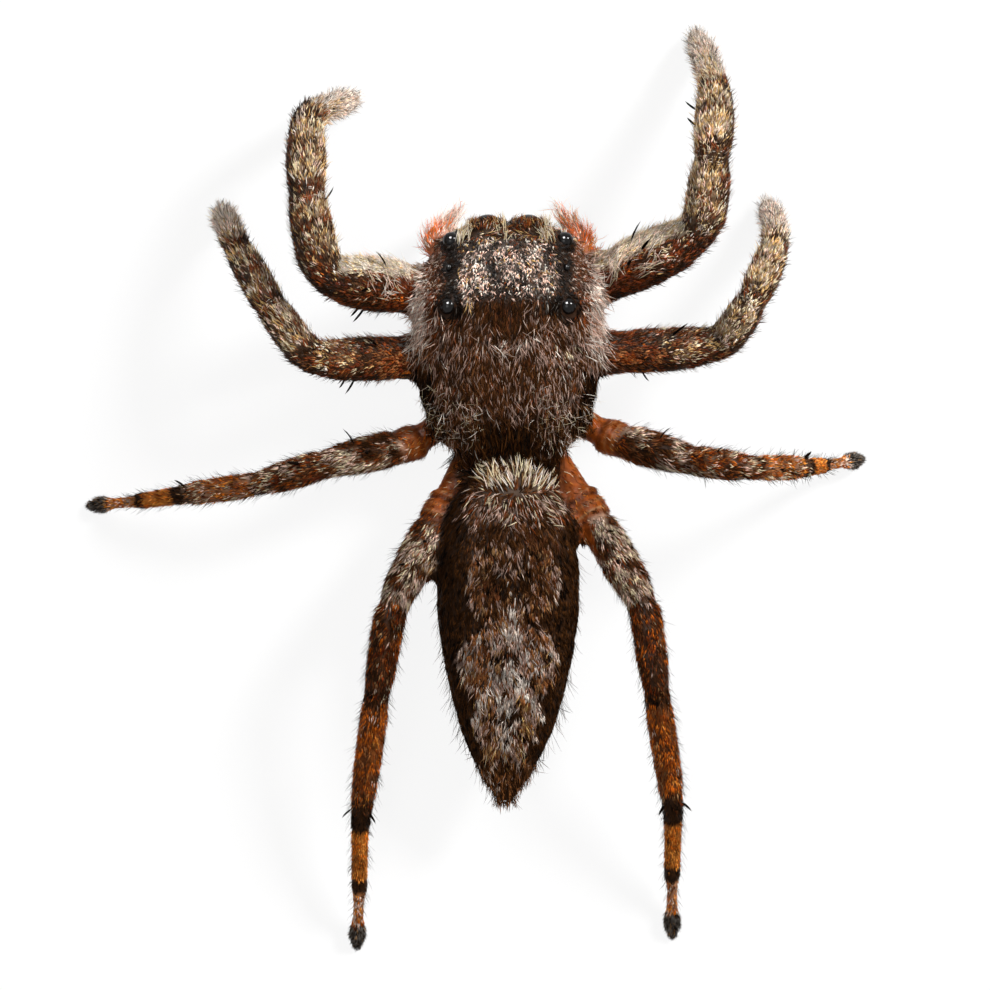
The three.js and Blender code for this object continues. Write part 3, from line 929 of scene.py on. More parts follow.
def front_leg_palette(points, along, angle):
    """Legs I and II: gold and cream scales in bands over dark brown, paler towards the feet, with painted
    light and shade.
    """
    part = along - np.floor(along)
    # inner is each leg's upper front side, towards the light: its scales are brightened as painted light,
    # and the other side is darkened as painted shade with grey, soot and dark.
    inner = step(np.cos(angle - 0.65), -0.35, 0.6)
    second = step(points[:, 1], -2.75, -2.6)
    blotch = grain(points, 0.2, 9)
    fine = grain(points, 0.1, 10)
    femur = step(along, 1.05, 0.95)
    # brow: the front edge of femur I, cream and white, brightened further as painted light.
    brow = femur * step(np.cos(angle - 1.3), 0.42, 0.75) * step(part, 0.02, 0.2) * (1 - second)
    front_edge = femur * second * step(np.sin(angle), 0.2, 0.42) * step(part, 0.9, 0.6)
    roots = femur * second * step(part, 0.6, 0.3) * (1 - front_edge)
    base = femur * step(part, 0.62, 0.25) * step(np.cos(angle - 0.4), 0.1, 0.6) * (1 - 0.8 * brow)
    foot = step(along, 3.15, 3.5)
    pale_foot = foot * step(np.abs(points[:, 0]), 4.2, 4.4)
    tip = step(along, 3.9, 4.2)
    rings = (
        hump(part, 0.0, 0.1) + 0.8 * hump(along, 1.15, 0.2) + 0.9 * hump(part, 1.0, 0.08)
        + 0.6 * hump(part, 0.55, 0.09)
    )
    rings = np.clip(rings * (1 - foot) * (1 + 0.6 * blotch), 0, 1)
    lit = inner * (1 - 0.85 * rings) * np.clip(1.8 + 1.9 * blotch + 0.5 * fine, 0.2, 3.4) * (1 - femur)
    lit = np.maximum(lit, brow * (4.0 + 0.8 * blotch))
    thigh = femur * (1 - base) * inner * 0.5 * step(part, 0.4, 0.8) * (1 + blotch) * (0.35 + 0.8 * second)
    lit = lit + thigh
    # Painted light: the legs on the spider's right are brighter.
    lit = lit * (0.9 + 0.7 * step(points[:, 0], 1.5, -1.5)) * (1 + 0.5 * second)
    patchy = step(grain(points, 0.3, 33) + 0.5 * fine, 0.0, 0.4) * (1 - 0.7 * foot)
    # shadow: painted shade on the side away from the light, with the dark rings at the joints.
    shadow = 0.35 + 1.1 * (1 - inner) + 1.2 * rings - 0.3 * blotch
    shadow = shadow * (1 - 0.95 * tip) * (1 - 0.75 * foot) * (1 - 0.8 * base) * (1 - 0.95 * brow)
    return [
        ("gold", lit * (0.75 + 0.2 * fine) * (1 - tip) * (1 - 0.6 * brow) + 0.03 * (1 - femur)),
        ("cream", lit * (0.75 - 0.2 * fine) * (1 - 0.4 * tip) + brow * 3),
        ("pink", lit * 0.25 + tip * 0.9 + femur * inner * 0.04 + foot * 0.2),
        ("tan", femur * second * inner * (0.6 + 0.4 * blotch) + roots * 1.3),
        ("orange", roots * 0.45 * (1 + blotch) + base * 0.7 * (1 - second)),
        ("grey", front_edge * 0.8),
        ("dark", front_edge * 2.0 + femur * second * hump(part, 0.62, 0.05) * 3),
        ("fawn", 0.3 * lit * (1 - brow) + 0.1 * (1 - femur) + foot * 0.25),
        ("mauve", foot * 0.3),
        ("pink", pale_foot * 1.4),
        ("pale", tip * 1.8 + lit * 0.2 + 0.02 * (1 - femur) + foot * 0.8),
        ("white", tip * 1.8 + lit * 0.12 + brow * 4 + foot * 0.5 + pale_foot * 2),
        (
            "grey",
            (foot * (1 - tip) * 0.3 + tip * 0.15) * (1 - 0.8 * pale_foot)
            + (1 - inner) * (1 - femur) * 0.25,
        ),
        ("brown", 0.28 * (1 - 0.7 * foot) * (1 - tip) * (1 - 0.5 * femur) * (1 - brow)),
        ("dark", shadow),
        ("soot", (1 - foot) * (0.3 * (1 - inner) + 0.3 * rings) * (1 - base)),
        ("bark", 0.45 * (1 - 0.8 * foot) * (1 - 0.95 * brow)),
        ("red", base * (1.6 - 1.0 * second) + femur * 0.3 * (1 - brow)),
        ("russet", 0.9 * patchy * (1 - brow) + femur * (1 - brow) * 0.3),
        (
            "rust",
            base * (2.4 - 1.0 * second) + 0.8 * patchy * (1 - brow)
            + 0.3 * (1 - foot) * (1 + 0.5 * fine) * (1 - brow) + femur * 0.35 * (1 - brow),
        ),
    ]


def hind_leg_palette(points, along, angle):
    """Legs III and IV: mottled thighs, then red-brown and orange with dark rings, with painted glints on
    top and painted shade underneath.
    """
    part = along - np.floor(along)
    # top is the upper side of the leg: the pale glints there are painted highlights, and the thigh is
    # darker below as painted shade.
    top = step(np.cos(angle), -0.2, 0.5)
    blotch = grain(points, 0.2, 12)
    fine = grain(points, 0.09, 13)
    femur = step(along, 1.04, 0.96)
    bare = femur * bare_thigh(points, part, angle)
    patella = step(along, 0.96, 1.04) * step(along, 2.04, 1.96)
    tibia = step(along, 1.96, 2.04) * step(along, 3.02, 2.98)
    shank = step(along, 2.98, 3.02) * step(along, 4.02, 3.98)
    foot = step(along, 3.98, 4.02)
    tuft = step(along, 4.5, 4.6)
    shade = step(blotch + 0.4 * fine, -0.1, 0.4)
    dark_ring = tibia * (step(part, 0.84, 0.95) + step(part, 0.14, 0.02) + 0.4 * shade)
    dark_ring = dark_ring + shank * (step(part, 0.26, 0.18) + step(part, 0.76, 0.84))
    mottle = femur * top * np.clip(0.4 + 2.4 * blotch + 0.6 * step(part, 0.6, 0.85), 0, 2) * (1 - bare)
    orange = (tibia + shank) * (1 - np.clip(dark_ring, 0, 1)) + foot * (1 - tuft)
    painted_glints = top * step(fine, 0.1, 0.5)
    third = step(points[:, 1], 1.4, 1.1) * (patella + tibia)
    tufted = third * (patella + 0.6 * tibia) * top * np.clip(0.4 + 2 * blotch, 0, 1.6)
    centre = patella * hump(part, 0.42, 0.22)
    lump = grain(points, 0.2, 30) + 0.6 * grain(points, 0.1, 29)
    return [
        ("amber", third * orange * 0.35 + orange * shank * 0.4),
        ("tan", third * (1 - tuft) * (0.5 + 0.4 * fine)),
        ("cream", third * painted_glints * 0.4 + patella * painted_glints * 0.2 + tufted * 1.2),
        ("cream", mottle * 1.0 + patella * painted_glints * 0.15),
        ("pink", mottle * 1.0 + (patella + tibia) * painted_glints * 0.1 + tufted * 0.8),
        ("pale", mottle * 0.5 + (patella + tibia) * painted_glints * 0.12),
        ("orange", centre * 0.5 + tibia * hump(part, 0.2, 0.1) * 0.6),
        ("fawn", mottle * 0.4 + patella * 0.1 + tibia * 0.1),
        ("brown", femur * 0.3 * (1 - bare) + patella * 0.25 + tibia * 0.15),
        ("tan", orange * tibia * 0.6 + bare * 0.1),
        ("orange", orange * tibia * 0.7),
        ("bark", bare * (0.35 + 0.8 * lump)),
        # Darker on the thigh's underside as painted shade, and on the knee and the dark rings.
        (
            "dark",
            femur * (0.5 + 0.4 * (1 - top)) * (1 - bare) + patella * (0.5 + 0.6 * shade)
            + dark_ring * 1.2,
        ),
        ("bark", femur * 0.35 * (1 - bare) + tibia * 0.2 + patella * 0.2),
        ("red", patella * 0.3 + tibia * 0.1 + femur * 0.1 * (1 - bare)),
        ("russet", patella * 0.6 + tibia * 0.2 + femur * 0.4 * (1 - bare) + bare * 0.2),
        ("rust", bare * 1.1 + patella * (0.6 - 0.5 * shade) + orange * (0.9 - 0.7 * shank) + femur * 0.2),
        (
            "orange",
            bare * (0.5 - 0.4 * lump) + patella * (0.2 - 0.2 * shade) + orange * (0.9 + 2.1 * shank),
        ),
        ("amber", orange * shank * 3.0 + foot * (1 - tuft) * 1.5 + orange * tibia * 0.2),
        ("pale", foot * (1 - tuft) * 1.0),
        ("pink", foot * (1 - tuft) * 0.4 + third * tibia * painted_glints * 0.5),
        ("black", dark_ring * 0.35),
        ("soot", tuft * 0.7),
        ("grey", tuft * 1.2),
        ("fawn", tuft * 0.12),
    ]


def palp_palette(_, along):
    """Coral arms that turn pale towards their tips."""
    tip = step(along, 0.9, 1.8)
    return [
        ("coral", 1.4 - 0.9 * tip),
        ("amber", 0.4),
        ("rust", 0.25 * (1 - tip)),
        ("pink", 0.3 + 0.9 * tip),
        ("white", 0.15 + 0.9 * tip),
    ]


def palettes(points, normals, part, limb, along, angle):
    """Splits points by the part of the spider they are on, and gives each set its palette."""
    name, pair = np.array(FLESH)[part], PAIR[limb]
    carapace, abdomen = name == "carapace", name == "abdomen"
    groups = (
        (carapace, carapace_palette, (normals,)),
        (abdomen, abdomen_palette, (normals,)),
        ((pair < 0) & ~carapace & ~abdomen, underside_palette, ()),
        ((pair == 1) | (pair == 2), front_leg_palette, (along, angle)),
        (pair > 2, hind_leg_palette, (along, angle)),
        (pair == 0, palp_palette, (along,)),
    )
    sets = []
    for where, maker, others in groups:
        here = np.flatnonzero(where)
        shares = maker(points[here], *(other[here] for other in others))
        sets.append((here, Palette(len(here), shares)))
    return sets


def bare_shell():
    """1 where the skin is smooth and shiny with few hairs: the roots of the two hind pairs of legs."""
    root = (PART_NAME == "sternum") * step(LEFT_RIGHT, 0.5, 0.75)
    thigh = (LEG_PAIR > 2) * bare_thigh(skin.points, skin.along, skin.round) * step(BACK, -1.9, -1.6)
    return np.maximum(root * step(BACK, -1.75, -1.45), thigh)


def skin_colours():
    """The skin's colours, with its gloss in the fourth column, and painted shade and painted highlights
    on it.
    """
    colours = np.zeros((len(skin.points), 4))
    places = (skin.points, skin.normals, skin.part, skin.limb, skin.along, skin.round)
    for here, palette in palettes(*places):
        colours[here, :3] = palette.mean()
    shiny = bare_shell()
    folded = leg_folds(skin.along) * shiny * (skin.limb >= 0) / 0.05
    # The skin under the coat is darkened as painted shade; pale parts of the legs keep more of their
    # colour.
    light = 0.17 + 0.45 * step(colours[:, 0], 0.22, 0.5) * (skin.limb >= 0)
    shaded_under_coat = COLOURS["bark"] * 0.32 + colours[:, :3] * light[:, None]
    lump = grain(skin.points, 0.3, 28) + 0.7 * grain(skin.points, 0.12, 29)
    amber = blend(COLOURS["rust"], COLOURS["orange"], 0.4 + 0.3 * lump) * (0.9 - 0.35 * lump)[:, None]
    # The bare roots darken towards the body's middle, as painted shade under the carapace.
    amber = blend(amber, COLOURS["bark"] * 0.6, step(LEFT_RIGHT, 1.25, 0.9) * 0.8)
    # Fold grooves are darkened as painted shade.
    amber = amber * (1 + 0.6 * np.clip(folded, -1.2, 0))[:, None]
    # Fold crests that face up turn fawn, as a painted highlight.
    painted_crest_highlights = 0.8 * step(folded, 0.2, 0.6) * step(UP, 0.2, 0.6)
    colours[:, :3] = blend(blend(shaded_under_coat, amber, shiny**2), COLOURS["fawn"], painted_crest_highlights)
    colours[:, 3] = shiny
    return colours


# ---- materials ----

PORES = 9000  # how fine the skin's speckles are
SKIN_GLOSS = 0.04
SHELL_GLOSS = 0.2


def set_tint(mesh, colours):
    """Stores a colour at each point, with 1 in the fourth part when only three are given."""
    layer = mesh.color_attributes.new("tint", "FLOAT_COLOR", "POINT")
    full = np.ones((len(colours), 4), np.float32)
    full[:, : colours.shape[1]] = colours
    layer.data.foreach_set("color", full.ravel())


def new_material(name):
    material = bpy.data.materials.new(name)
    return material, new_tree(material)


def add_tint(tree):
    return add_node(tree, "Attribute", {}, attribute_name="tint").outputs


def add_shaded(tree, colour, shade):
    inputs = {"Factor": 1, "A": colour, "B": shade}
    return add_node(tree, "Mix", inputs, data_type="RGBA", blend_type="MULTIPLY").outputs["Result"]


def set_shader(tree, colour, roughness, gloss, more=None):
    inputs = {"Base Color": colour, "Roughness": roughness, "Specular IOR Level": gloss}
    shader = add_node(tree, "BsdfPrincipled", {**inputs, **(more or {})})
    add_node(tree, "OutputMaterial", {"Surface": shader.outputs[0]})


def skin_material():
    """The tint with pores and blotches; where the tint's fourth part is high it is a glossy shell."""
    material, tree = new_material("skin_shell")
    tint = add_tint(tree)
    speckle = add_noise(tree, PORES, 3)
    colour = add_shaded(tree, tint["Color"], add_range(tree, speckle, 0.1, 1.35))
    dull = add_range(tree, speckle, 0.38, 0.6)
    sleek = add_range(tree, tint["Alpha"], 0, 0.06)
    rough = add_node(tree, "Math", {0: dull, 1: sleek}, operation="SUBTRACT", use_clamp=True)
    height = add_noise(tree, PORES, 6)
    lumps = add_node(tree, "Bump", {"Strength": 0.9, "Distance": 0.03 * MM, "Height": height})
    set_shader(tree, colour, rough.outputs[0], SKIN_GLOSS, {"Normal": lumps.outputs[0]})
    return material


def hair_material(name, shades, roughness, speckle_scale, gloss):
    """The tint of each hair with fine speckles, which are also a little rougher or smoother."""
    material, tree = new_material(name)
    speckle = add_noise(tree, speckle_scale, 3)
    colour = add_shaded(tree, add_tint(tree)["Color"], add_range(tree, speckle, *shades))
    set_shader(tree, colour, add_range(tree, speckle, *roughness), gloss)
    return material


def shell_material(name, code, roughness, speckle_scale, spread):
    """A shell, lens or spine: one colour with soft darker blotches and a slightly uneven gloss."""
    material, tree = new_material(name)
    speckle = add_noise(tree, speckle_scale, 2)
    ramp = add_node(tree, "ValToRGB", {"Fac": speckle})
    dark, light = ramp.color_ramp.elements
    dark.color = (*(linear(code) * (1 - spread)), 1)
    light.color = (*np.minimum(linear(code) * (1 + spread), 1), 1)
    set_shader(tree, ramp.outputs["Color"], add_range(tree, speckle, *roughness), SHELL_GLOSS)
    return material


SKIN_SHELL = skin_material()
COAT_HAIR = hair_material("coat_hair", (0.75, 1.25), (0.45, 0.7), 5000, 0.008)
SCALE_HAIR = hair_material("scale_hair", (0.8, 1.3), (0.28, 0.45), 6000, 0.09)
EYE_GLOSS = shell_material("eye_gloss", "#0b0807", (0.03, 0.07), 3000, 0.5)
JAW_SHELL = shell_material("jaw_shell", "#3a1c12", (0.22, 0.38), 4000, 0.5)
CLAW_BLACK = shell_material("claw_black", "#140d09", (0.25, 0.4), 6000, 0.4)


# ---- finishing pieces ----


def add_piece(name, mesh, material, replaced=()):
    mesh.materials.clear()
    mesh.materials.append(material)
    mesh.polygons.foreach_set("use_smooth", [True] * len(mesh.polygons))
    piece = new_object(name, mesh)
    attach(piece, "root")
    if replaced:
        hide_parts(*replaced)


def finish_skin():
    set_tint(skin.mesh, skin_colours())
    set_points(skin.mesh, to_frame(skin.points))
    add_piece("skin", skin.mesh, SKIN_SHELL, FLESH)


def make_eyes():
    for name, (centre, radius, _, _) in EYE_PLACES.items():
        bm = bmesh.new()
        bmesh.ops.create_uvsphere(bm, u_segments=48, v_segments=32, radius=radius * MM * LENS_SIZE)
        bmesh.ops.translate(bm, verts=bm.verts, vec=Vector(to_frame(centre)))
        add_piece(name.replace("eye_", "lens_"), mesh_from(bm, name), EYE_GLOSS, [name])


def make_jaws():
    for name in JAWS:
        mesh = remeshed(copy_of_solids([name], 0), JAW_VOXEL)
        set_points(mesh, to_frame(softened(points_of(mesh), edges_of(mesh), JAW_SOFTENING)))
        add_piece(name.replace("jaw", "chelicera"), mesh, JAW_SHELL, [name])


# ---- one hair's mesh ----

RINGS = {1: (0.42,), 2: (0.25, 0.62), 3: (0.18, 0.42, 0.72)}  # where a hair's rings are along it
PATCH = 0.003  # the width of one hair on the bake map
ROOT_DEPTH = 0.012
# Painted shade and light along each hair: its root is darkened and its tip is lightened.
ROOT_PAINTED_SHADE = 0.35
TIP_PAINTED_LIGHT = 1.25
MEASURES = ("length", "width", "lift", "curl", "sway", "wave")


def hair_faces(rings):
    """The triangles of one hair: point 0 is its root and the last point its tip."""
    faces = [(0, 2, 1), (0, 1, 3), (0, 3, 2)]
    for ring in range(rings - 1):
        first = 1 + 3 * ring
        for here, after in ((first, first + 2), (first + 2, first + 1), (first + 1, first)):
            faces += [(here, here + 3, after + 3), (here, after + 3, after)]
    tip = 1 + 3 * rings
    return faces + [(tip, tip - 3, tip - 2), (tip, tip - 1, tip - 3), (tip, tip - 2, tip - 1)]


def hair_points(hairs, rings):
    """Points of every hair, and how light each point is beside its hair's colour, as painted shade at the
    root and painted light at the tip.
    """
    ahead, normal = hairs["lie"], hairs["normal"]
    side = unit(np.cross(ahead, normal))
    length, width = hairs["length"][:, None], hairs["width"][:, None]
    centre = hairs["root"] - normal * ROOT_DEPTH
    rows, shades = [centre], [ROOT_PAINTED_SHADE]
    last = 0
    for share in (*RINGS[rings], 1.0):
        middle = (share + last) / 2
        angle = (hairs["lift"] + hairs["curl"] * middle)[:, None]
        sway = hairs["sway"] * middle + hairs["wave"] * np.sin(9 * share + hairs["phase"])
        sway = sway[:, None]
        flat = np.cos(angle) * (np.cos(sway) * ahead + np.sin(sway) * side)
        centre = centre + length * (share - last) * (flat + np.sin(angle) * normal)
        over = np.cos(angle) * normal - np.sin(angle) * ahead
        last = share
        if share < 1:
            thick = width * (1 - 0.7 * abs(share - 0.35))
            rows += [centre + side * thick, centre - side * thick, centre + over * thick * 0.7]
            # Rings nearer the root are darker, as painted shade.
            shades += [0.75 + 0.45 * share] * 3
    return np.stack([*rows, centre], axis=1), np.array([*shades, TIP_PAINTED_LIGHT])


def hair_mesh(name, hairs, rings):
    points, shades = hair_points(hairs, rings)
    points[..., 2] = np.maximum(points[..., 2], SOLE)
    count, each = points.shape[:2]
    faces = np.array(hair_faces(rings))
    index = (np.arange(count)[:, None, None] * each + faces[None]).reshape(-1, 3)
    mesh = bpy.data.meshes.new(name)
    mesh.vertices.add(count * each)
    mesh.vertices.foreach_set("co", to_frame(points.reshape(-1, 3)).astype(np.float32).ravel())
    mesh.loops.add(index.size)
    mesh.loops.foreach_set("vertex_index", index.ravel().astype(np.int32))
    mesh.polygons.add(len(index))
    mesh.polygons.foreach_set("loop_start", np.arange(0, index.size, 3, dtype=np.int32))
    mesh.update(calc_edges=True)
    # The tint carries each hair's painted shade and light.
    set_tint(mesh, (hairs["tint"][:, None, :] * shades[None, :, None]).reshape(-1, 3))
    spread = np.stack([np.linspace(0, 1, each), np.tile((0.2, 1.0, 0.5), each)[:each]], axis=1) * PATCH
    places = (hairs["unwrap"][:, None, :] * (1 - PATCH) + spread[None]).reshape(-1, 2)
    layer = mesh.uv_layers.new(name="OFBake")
    layer.data.foreach_set("uv", places[index.ravel()].astype(np.float32).ravel())
    return mesh


# ---- where hairs grow, how they lie and their colours ----

LOCK = 9  # hairs to a lock


def near_eyes(points):
    """True where a point is too close to an eye for a hair to grow."""
    close = np.zeros(len(points), bool)
    for name, (_, radius, _, rim) in EYE_PLACES.items():
        distance, turn = from_eye(points, name)
        close |= (distance < radius + 0.01) & (turn < rim + 0.06)
    return close


def gathered_to(roots):
    """For each hair, the one that leads its lock: the nearest of a few chosen at random."""
    count = len(roots)
    chosen = rng.permutation(count)[: max(1, count // LOCK)]
    tree = KDTree(len(chosen))
    for place, index in enumerate(chosen):
        tree.insert(roots[index], place)
    tree.balance()
    return chosen[np.array([tree.find(root)[1] for root in roots], int)]


def gathered(spots, lie, length, tight):
    """Turns each hair towards the tip of the hair that leads its lock."""
    lead, normal = spots["leader"], spots["normal"]
    to_tip = (spots["root"][lead] - spots["root"]) / np.maximum(length, 0.05)[:, None] + lie[lead]
    return unit(square_to(lie * (1 - tight) + to_tip * tight, normal))


class Field:
    """Places for hairs: random spots on the skin, with what the skin knows at each."""

    def __init__(self):
        skin.mesh.calc_loop_triangles()
        self.corners = read(skin.mesh.loop_triangles, "vertices", 3, np.int32)
        a, b, c = (skin.points[self.corners[:, i]] for i in range(3))
        self.area = length_of(np.cross(b - a, c - a)) / 2

    def scatter(self, density):
        """Spots on the skin, so many to the square millimetre at each of its points."""
        total = np.cumsum(self.area * density[self.corners].mean(axis=1))
        count = int(total[-1])
        face = np.searchsorted(total, rng.random(count) * total[-1]).clip(0, len(total) - 1)
        u, v = rng.random(count), rng.random(count)
        turned = u + v > 1
        u[turned], v[turned] = 1 - u[turned], 1 - v[turned]
        shares = np.stack([1 - u - v, u, v], axis=1)
        corner = self.corners[face]
        spots = {
            "root": np.einsum("ij,ijk->ik", shares, skin.points[corner]),
            "normal": unit(np.einsum("ij,ijk->ik", shares, skin.normals[corner])),
            "point": corner[np.arange(count), (shares * (density[corner] > 0)).argmax(axis=1)],
        }
        keep = ~near_eyes(spots["root"])
        spots = {key: value[keep] for key, value in spots.items()}
        spots["leader"] = gathered_to(spots["root"])
        return spots


field = Field()
shell = bare_shell()


def vary(spots, low, high):
    return rng.uniform(low, high, len(spots["root"]))


def eddies(points, size, seed):
    """Smooth noise in each of the three directions."""
    return np.stack([grain(points, size, seed + i) for i in range(3)], axis=1)


def laid(spots, flow, spread, swirl=0.3):
    """The way each hair lies: the flow in small locks, turned a little at random, along the skin."""
    root, normal = spots["root"], spots["normal"]
    flow = unit(flow) + swirl * eddies(root, 0.16, 40) + 0.5 * swirl * eddies(root, 0.45, 50)
    flow = unit(square_to(flow, normal))
    side = np.cross(normal, flow)
    turn = rng.normal(0, 1, len(root))[:, None] * np.asarray(spread).reshape(-1, 1)
    return unit(flow * np.cos(turn) + side * np.sin(turn))


def drawn(spots, bright=0.0, lock=0.5, shared=0.4):
    """A colour for each hair, which changes a little from hair to hair and more from lock to lock."""
    root, point = spots["root"], spots["point"]
    tints = np.zeros((len(point), 3))
    on_skin = (skin.part[point], skin.limb[point], skin.along[point], skin.round[point])
    for here, palette in palettes(root, spots["normal"], *on_skin):
        if len(here):
            tints[here] = palette.draw(bright)
    same = rng.random(len(point)) < shared
    tints[same] = tints[spots["leader"][same]]
    shade = 1 + lock * grain(root, 0.1, 31) + 0.5 * lock * grain(root, 0.3, 32)
    return tints * (vary(spots, 0.75, 1.2) * shade)[:, None]


def one_of(spots, names):
    """A colour for each hair, which is one of a few names."""
    table = np.array([COLOURS[n] for n in names.split()])
    return table[rng.integers(0, len(table), len(spots["root"]))] * vary(spots, 0.7, 1.2)[:, None]


def measured(spots, length, width, lift, curl=0.0, sway=0.0, wave=0.0, tight=0.4):
    """Each measure of the hairs: a pair is drawn between its ends for each, and a number is for all."""
    shape = {"tight": tight}
    for key, value in zip(MEASURES, (length, width, lift, curl, sway, wave)):
        shape[key] = vary(spots, *value) if isinstance(value, tuple) else value
    return shape


def batch(density, flow, spread, tint, *sizes, swirl=0.3, tight=0.4, tint_first=False):
    """Hairs of one kind: where they grow, their way, how far they stray, their colours and measures."""
    spots = field.scatter(density)
    shape = measured(spots, *sizes, tight=tight)

    def coloured():
        return one_of(spots, tint) if isinstance(tint, str) else drawn(spots, *tint)

    colours = coloured() if tint_first else None
    lie = laid(spots, flow(spots), spread, swirl)
    return spots, lie, coloured() if colours is None else colours, shape


BODY_MIDDLE = (0, 0.9, 1.4)
BODY_HALF = (1.9, 5.4, 1.2)


def body_unwrap(points):
    """Opens the body out from the top of its back, by the angle down from there."""
    ray = unit((points - np.array(BODY_MIDDLE)) / np.array(BODY_HALF))
    down = np.arccos(np.clip(ray[:, 2], -1, 1)) / math.pi
    turn = np.arctan2(ray[:, 1], ray[:, 0])
    return 0.5 + 0.5 * down[:, None] * np.stack([np.cos(turn), np.sin(turn)], axis=1)


def unwrapped(spots):
    """Each hair's place on the bake map: the body opened from its back, each limb like a sleeve."""
    point = spots["point"]
    limb = skin.limb[point]
    places = body_unwrap(spots["root"])
    parts = np.array([len(LIMBS[n]) for n in LIMB_NAMES] + [1])[limb]
    sleeve = np.stack([skin.along[point] / parts, skin.round[point] / (2 * math.pi) + 0.5], axis=1)
    places[limb >= 0] = sleeve[limb >= 0]
    return np.clip(places, 0, 1)


def grow(name, material, rings, batches):
    """Makes one piece of the coat from batches, each with its spots, way, colours and measures."""
    whole = {}
    for spots, lie, tint, shape in batches:
        count = len(spots["root"])
        if "leader" in spots:
            lie = gathered(spots, lie, shape["length"], shape["tight"])
        hairs = {"root": spots["root"], "normal": spots["normal"], "lie": lie, "tint": tint}
        for key in MEASURES:
            hairs[key] = np.broadcast_to(np.asarray(shape[key], float), (count,))
        hairs["phase"] = vary(spots, 0, 6.28)
        hairs["unwrap"] = unwrapped(spots)
        for key, value in hairs.items():
            whole.setdefault(key, []).append(value)
    whole = {key: np.concatenate(value) for key, value in whole.items()}
    add_piece(name, hair_mesh(name, whole, rings), material)


# ---- the ways that hairs lie ----


def straight(*way):
    """A flow that is the same everywhere."""
    return lambda spots: np.tile(way, (len(spots["root"]), 1))


def carapace_flow(spots):
    """Back along the body, and out and down over the sides."""
    x, y, _ = spots["root"].T
    return np.stack([0.45 * x / 1.8 * step(y, -0.6, -2.5), np.ones(len(x)), -0.2 * np.abs(x)], axis=1)


def past_eyes(spots, flow):
    """The flow, parted so that it runs round the small eyes."""
    points = spots["root"]
    flow = unit(flow)
    for centre, radius, _, _ in (EYE_PLACES[name] for name in SMALL_EYES):
        away = unit(points - centre)
        across = np.cross((0, 0, 1.0), away)
        across = unit(across * np.where(dot(across, flow) < 0, -1, 1)[:, None] + 0.35 * away)
        near = step(length_of(points - centre), radius + 0.16, radius + 0.07)[:, None]
        flow = flow * (1 - near) + across * near
    return flow


def back_flow(spots):
    return past_eyes(spots, carapace_flow(spots))


def outward(spots):
    """Out from the body's middle line and back."""
    x = spots["root"][:, 0]
    return np.stack([np.sign(x), np.full(len(x), 0.7), np.zeros(len(x))], axis=1)


def eye_share(points, reach):
    """How near each point is to one of the two big front eyes."""
    radii = [EYE_PLACES[name][1] for name in BIG_EYES]
    distances = [from_eye(points, name)[0] for name in BIG_EYES]
    return strongest(step(d, r + reach, r + 0.05) for d, r in zip(distances, radii))


def lash_flow(spots):
    """Forward and away from the nearer big eye's middle."""
    points = spots["root"]
    flow = np.zeros_like(points)
    near = np.full(len(points), np.inf)
    for name in BIG_EYES:
        distance, _ = from_eye(points, name)
        away = unit(points - EYE_PLACES[name][0])
        away[:, 1] -= 1.0
        closer = distance < near
        flow[closer] = away[closer]
        near[closer] = distance[closer]
    return flow


def ruff_flow(spots):
    return unit(spots["root"] - np.array([-0.2, 1.05, 1.7]))


def fan_flow(spots):
    return unit(spots["root"] - np.array([-0.17, 0.1, 1.7]))


def abdomen_flow(spots):
    """Back along the body, but forward and outward at its front end."""
    x, y, _ = spots["root"].T
    side = 0.25 * x / 1.3 + 0.5 * x * step(y, 1.6, 0.9)
    flow = np.stack([side, np.ones(len(x)), np.zeros(len(x))], axis=1)
    ahead = step(y, 0.72, 0.5)[:, None]
    return flow * (1 - ahead) + ruff_flow(spots) * ahead


def down_limb(spots):
    return skin.axis[spots["point"]]


# ---- the coat ----
# The measures of a batch stand in the order of MEASURES: length, width, lift, curl, sway and wave.


def head_coat():
    """Flat scales among the eyes, which turn into lashes near the two big ones."""
    spots = field.scatter(ON_CARAPACE * step(UP, -0.9, -0.5) * (BACK < -3.0) * 1150.0)
    fringe = step(np.abs(spots["root"][:, 0]), 1.3, 1.6)
    lash = eye_share(spots["root"], 0.16)
    flow = carapace_flow(spots) * (1 - lash)[:, None] + lash_flow(spots) * lash[:, None] * 1.5
    tight = 0.2 * (1 - lash)[:, None]
    shape = measured(spots, (0.07, 0.14), (0.008, 0.021), (0.1, 0.55), -0.2, tight=tight)
    shape["length"] = shape["length"] + fringe * 0.1 + 0.06 * lash
    shape["lift"] = shape["lift"] + 0.3 * fringe
    lie = laid(spots, past_eyes(spots, flow), 0.75 - 0.6 * lash)
    grow("coat_head", SCALE_HAIR, 1, [(spots, lie, drawn(spots, 0, 0.6, 0.2), shape)])


def long_back_hairs():
    """Longer hairs over the short ones of the back, lifted and crossed where the back's patterns are."""
    thick = 330 - 170 * step(BACK, -1.5, -1.1)
    spots = field.scatter(ON_CARAPACE * (UP > -0.2) * (BACK >= -3.05) * thick)
    x, y = np.abs(spots["root"][:, 0]), spots["root"][:, 1]
    rear = step(y, -1.4, -0.9)
    cross = hump(y + 0.5 * x, -2.2, 0.2) * step(x, 0.8, 0.5)
    shape = measured(spots, (0.2, 0.32), (0.006, 0.01), (0.2, 0.5), (-0.7, 0.0), (-0.6, 0.6))
    shape["lift"] = shape["lift"] + 0.2 * rear
    lie = laid(spots, back_flow(spots), 0.3 + 0.4 * rear + 0.7 * cross, 0.5)
    return spots, lie, drawn(spots, 0.15, 0.5, 0.15), shape


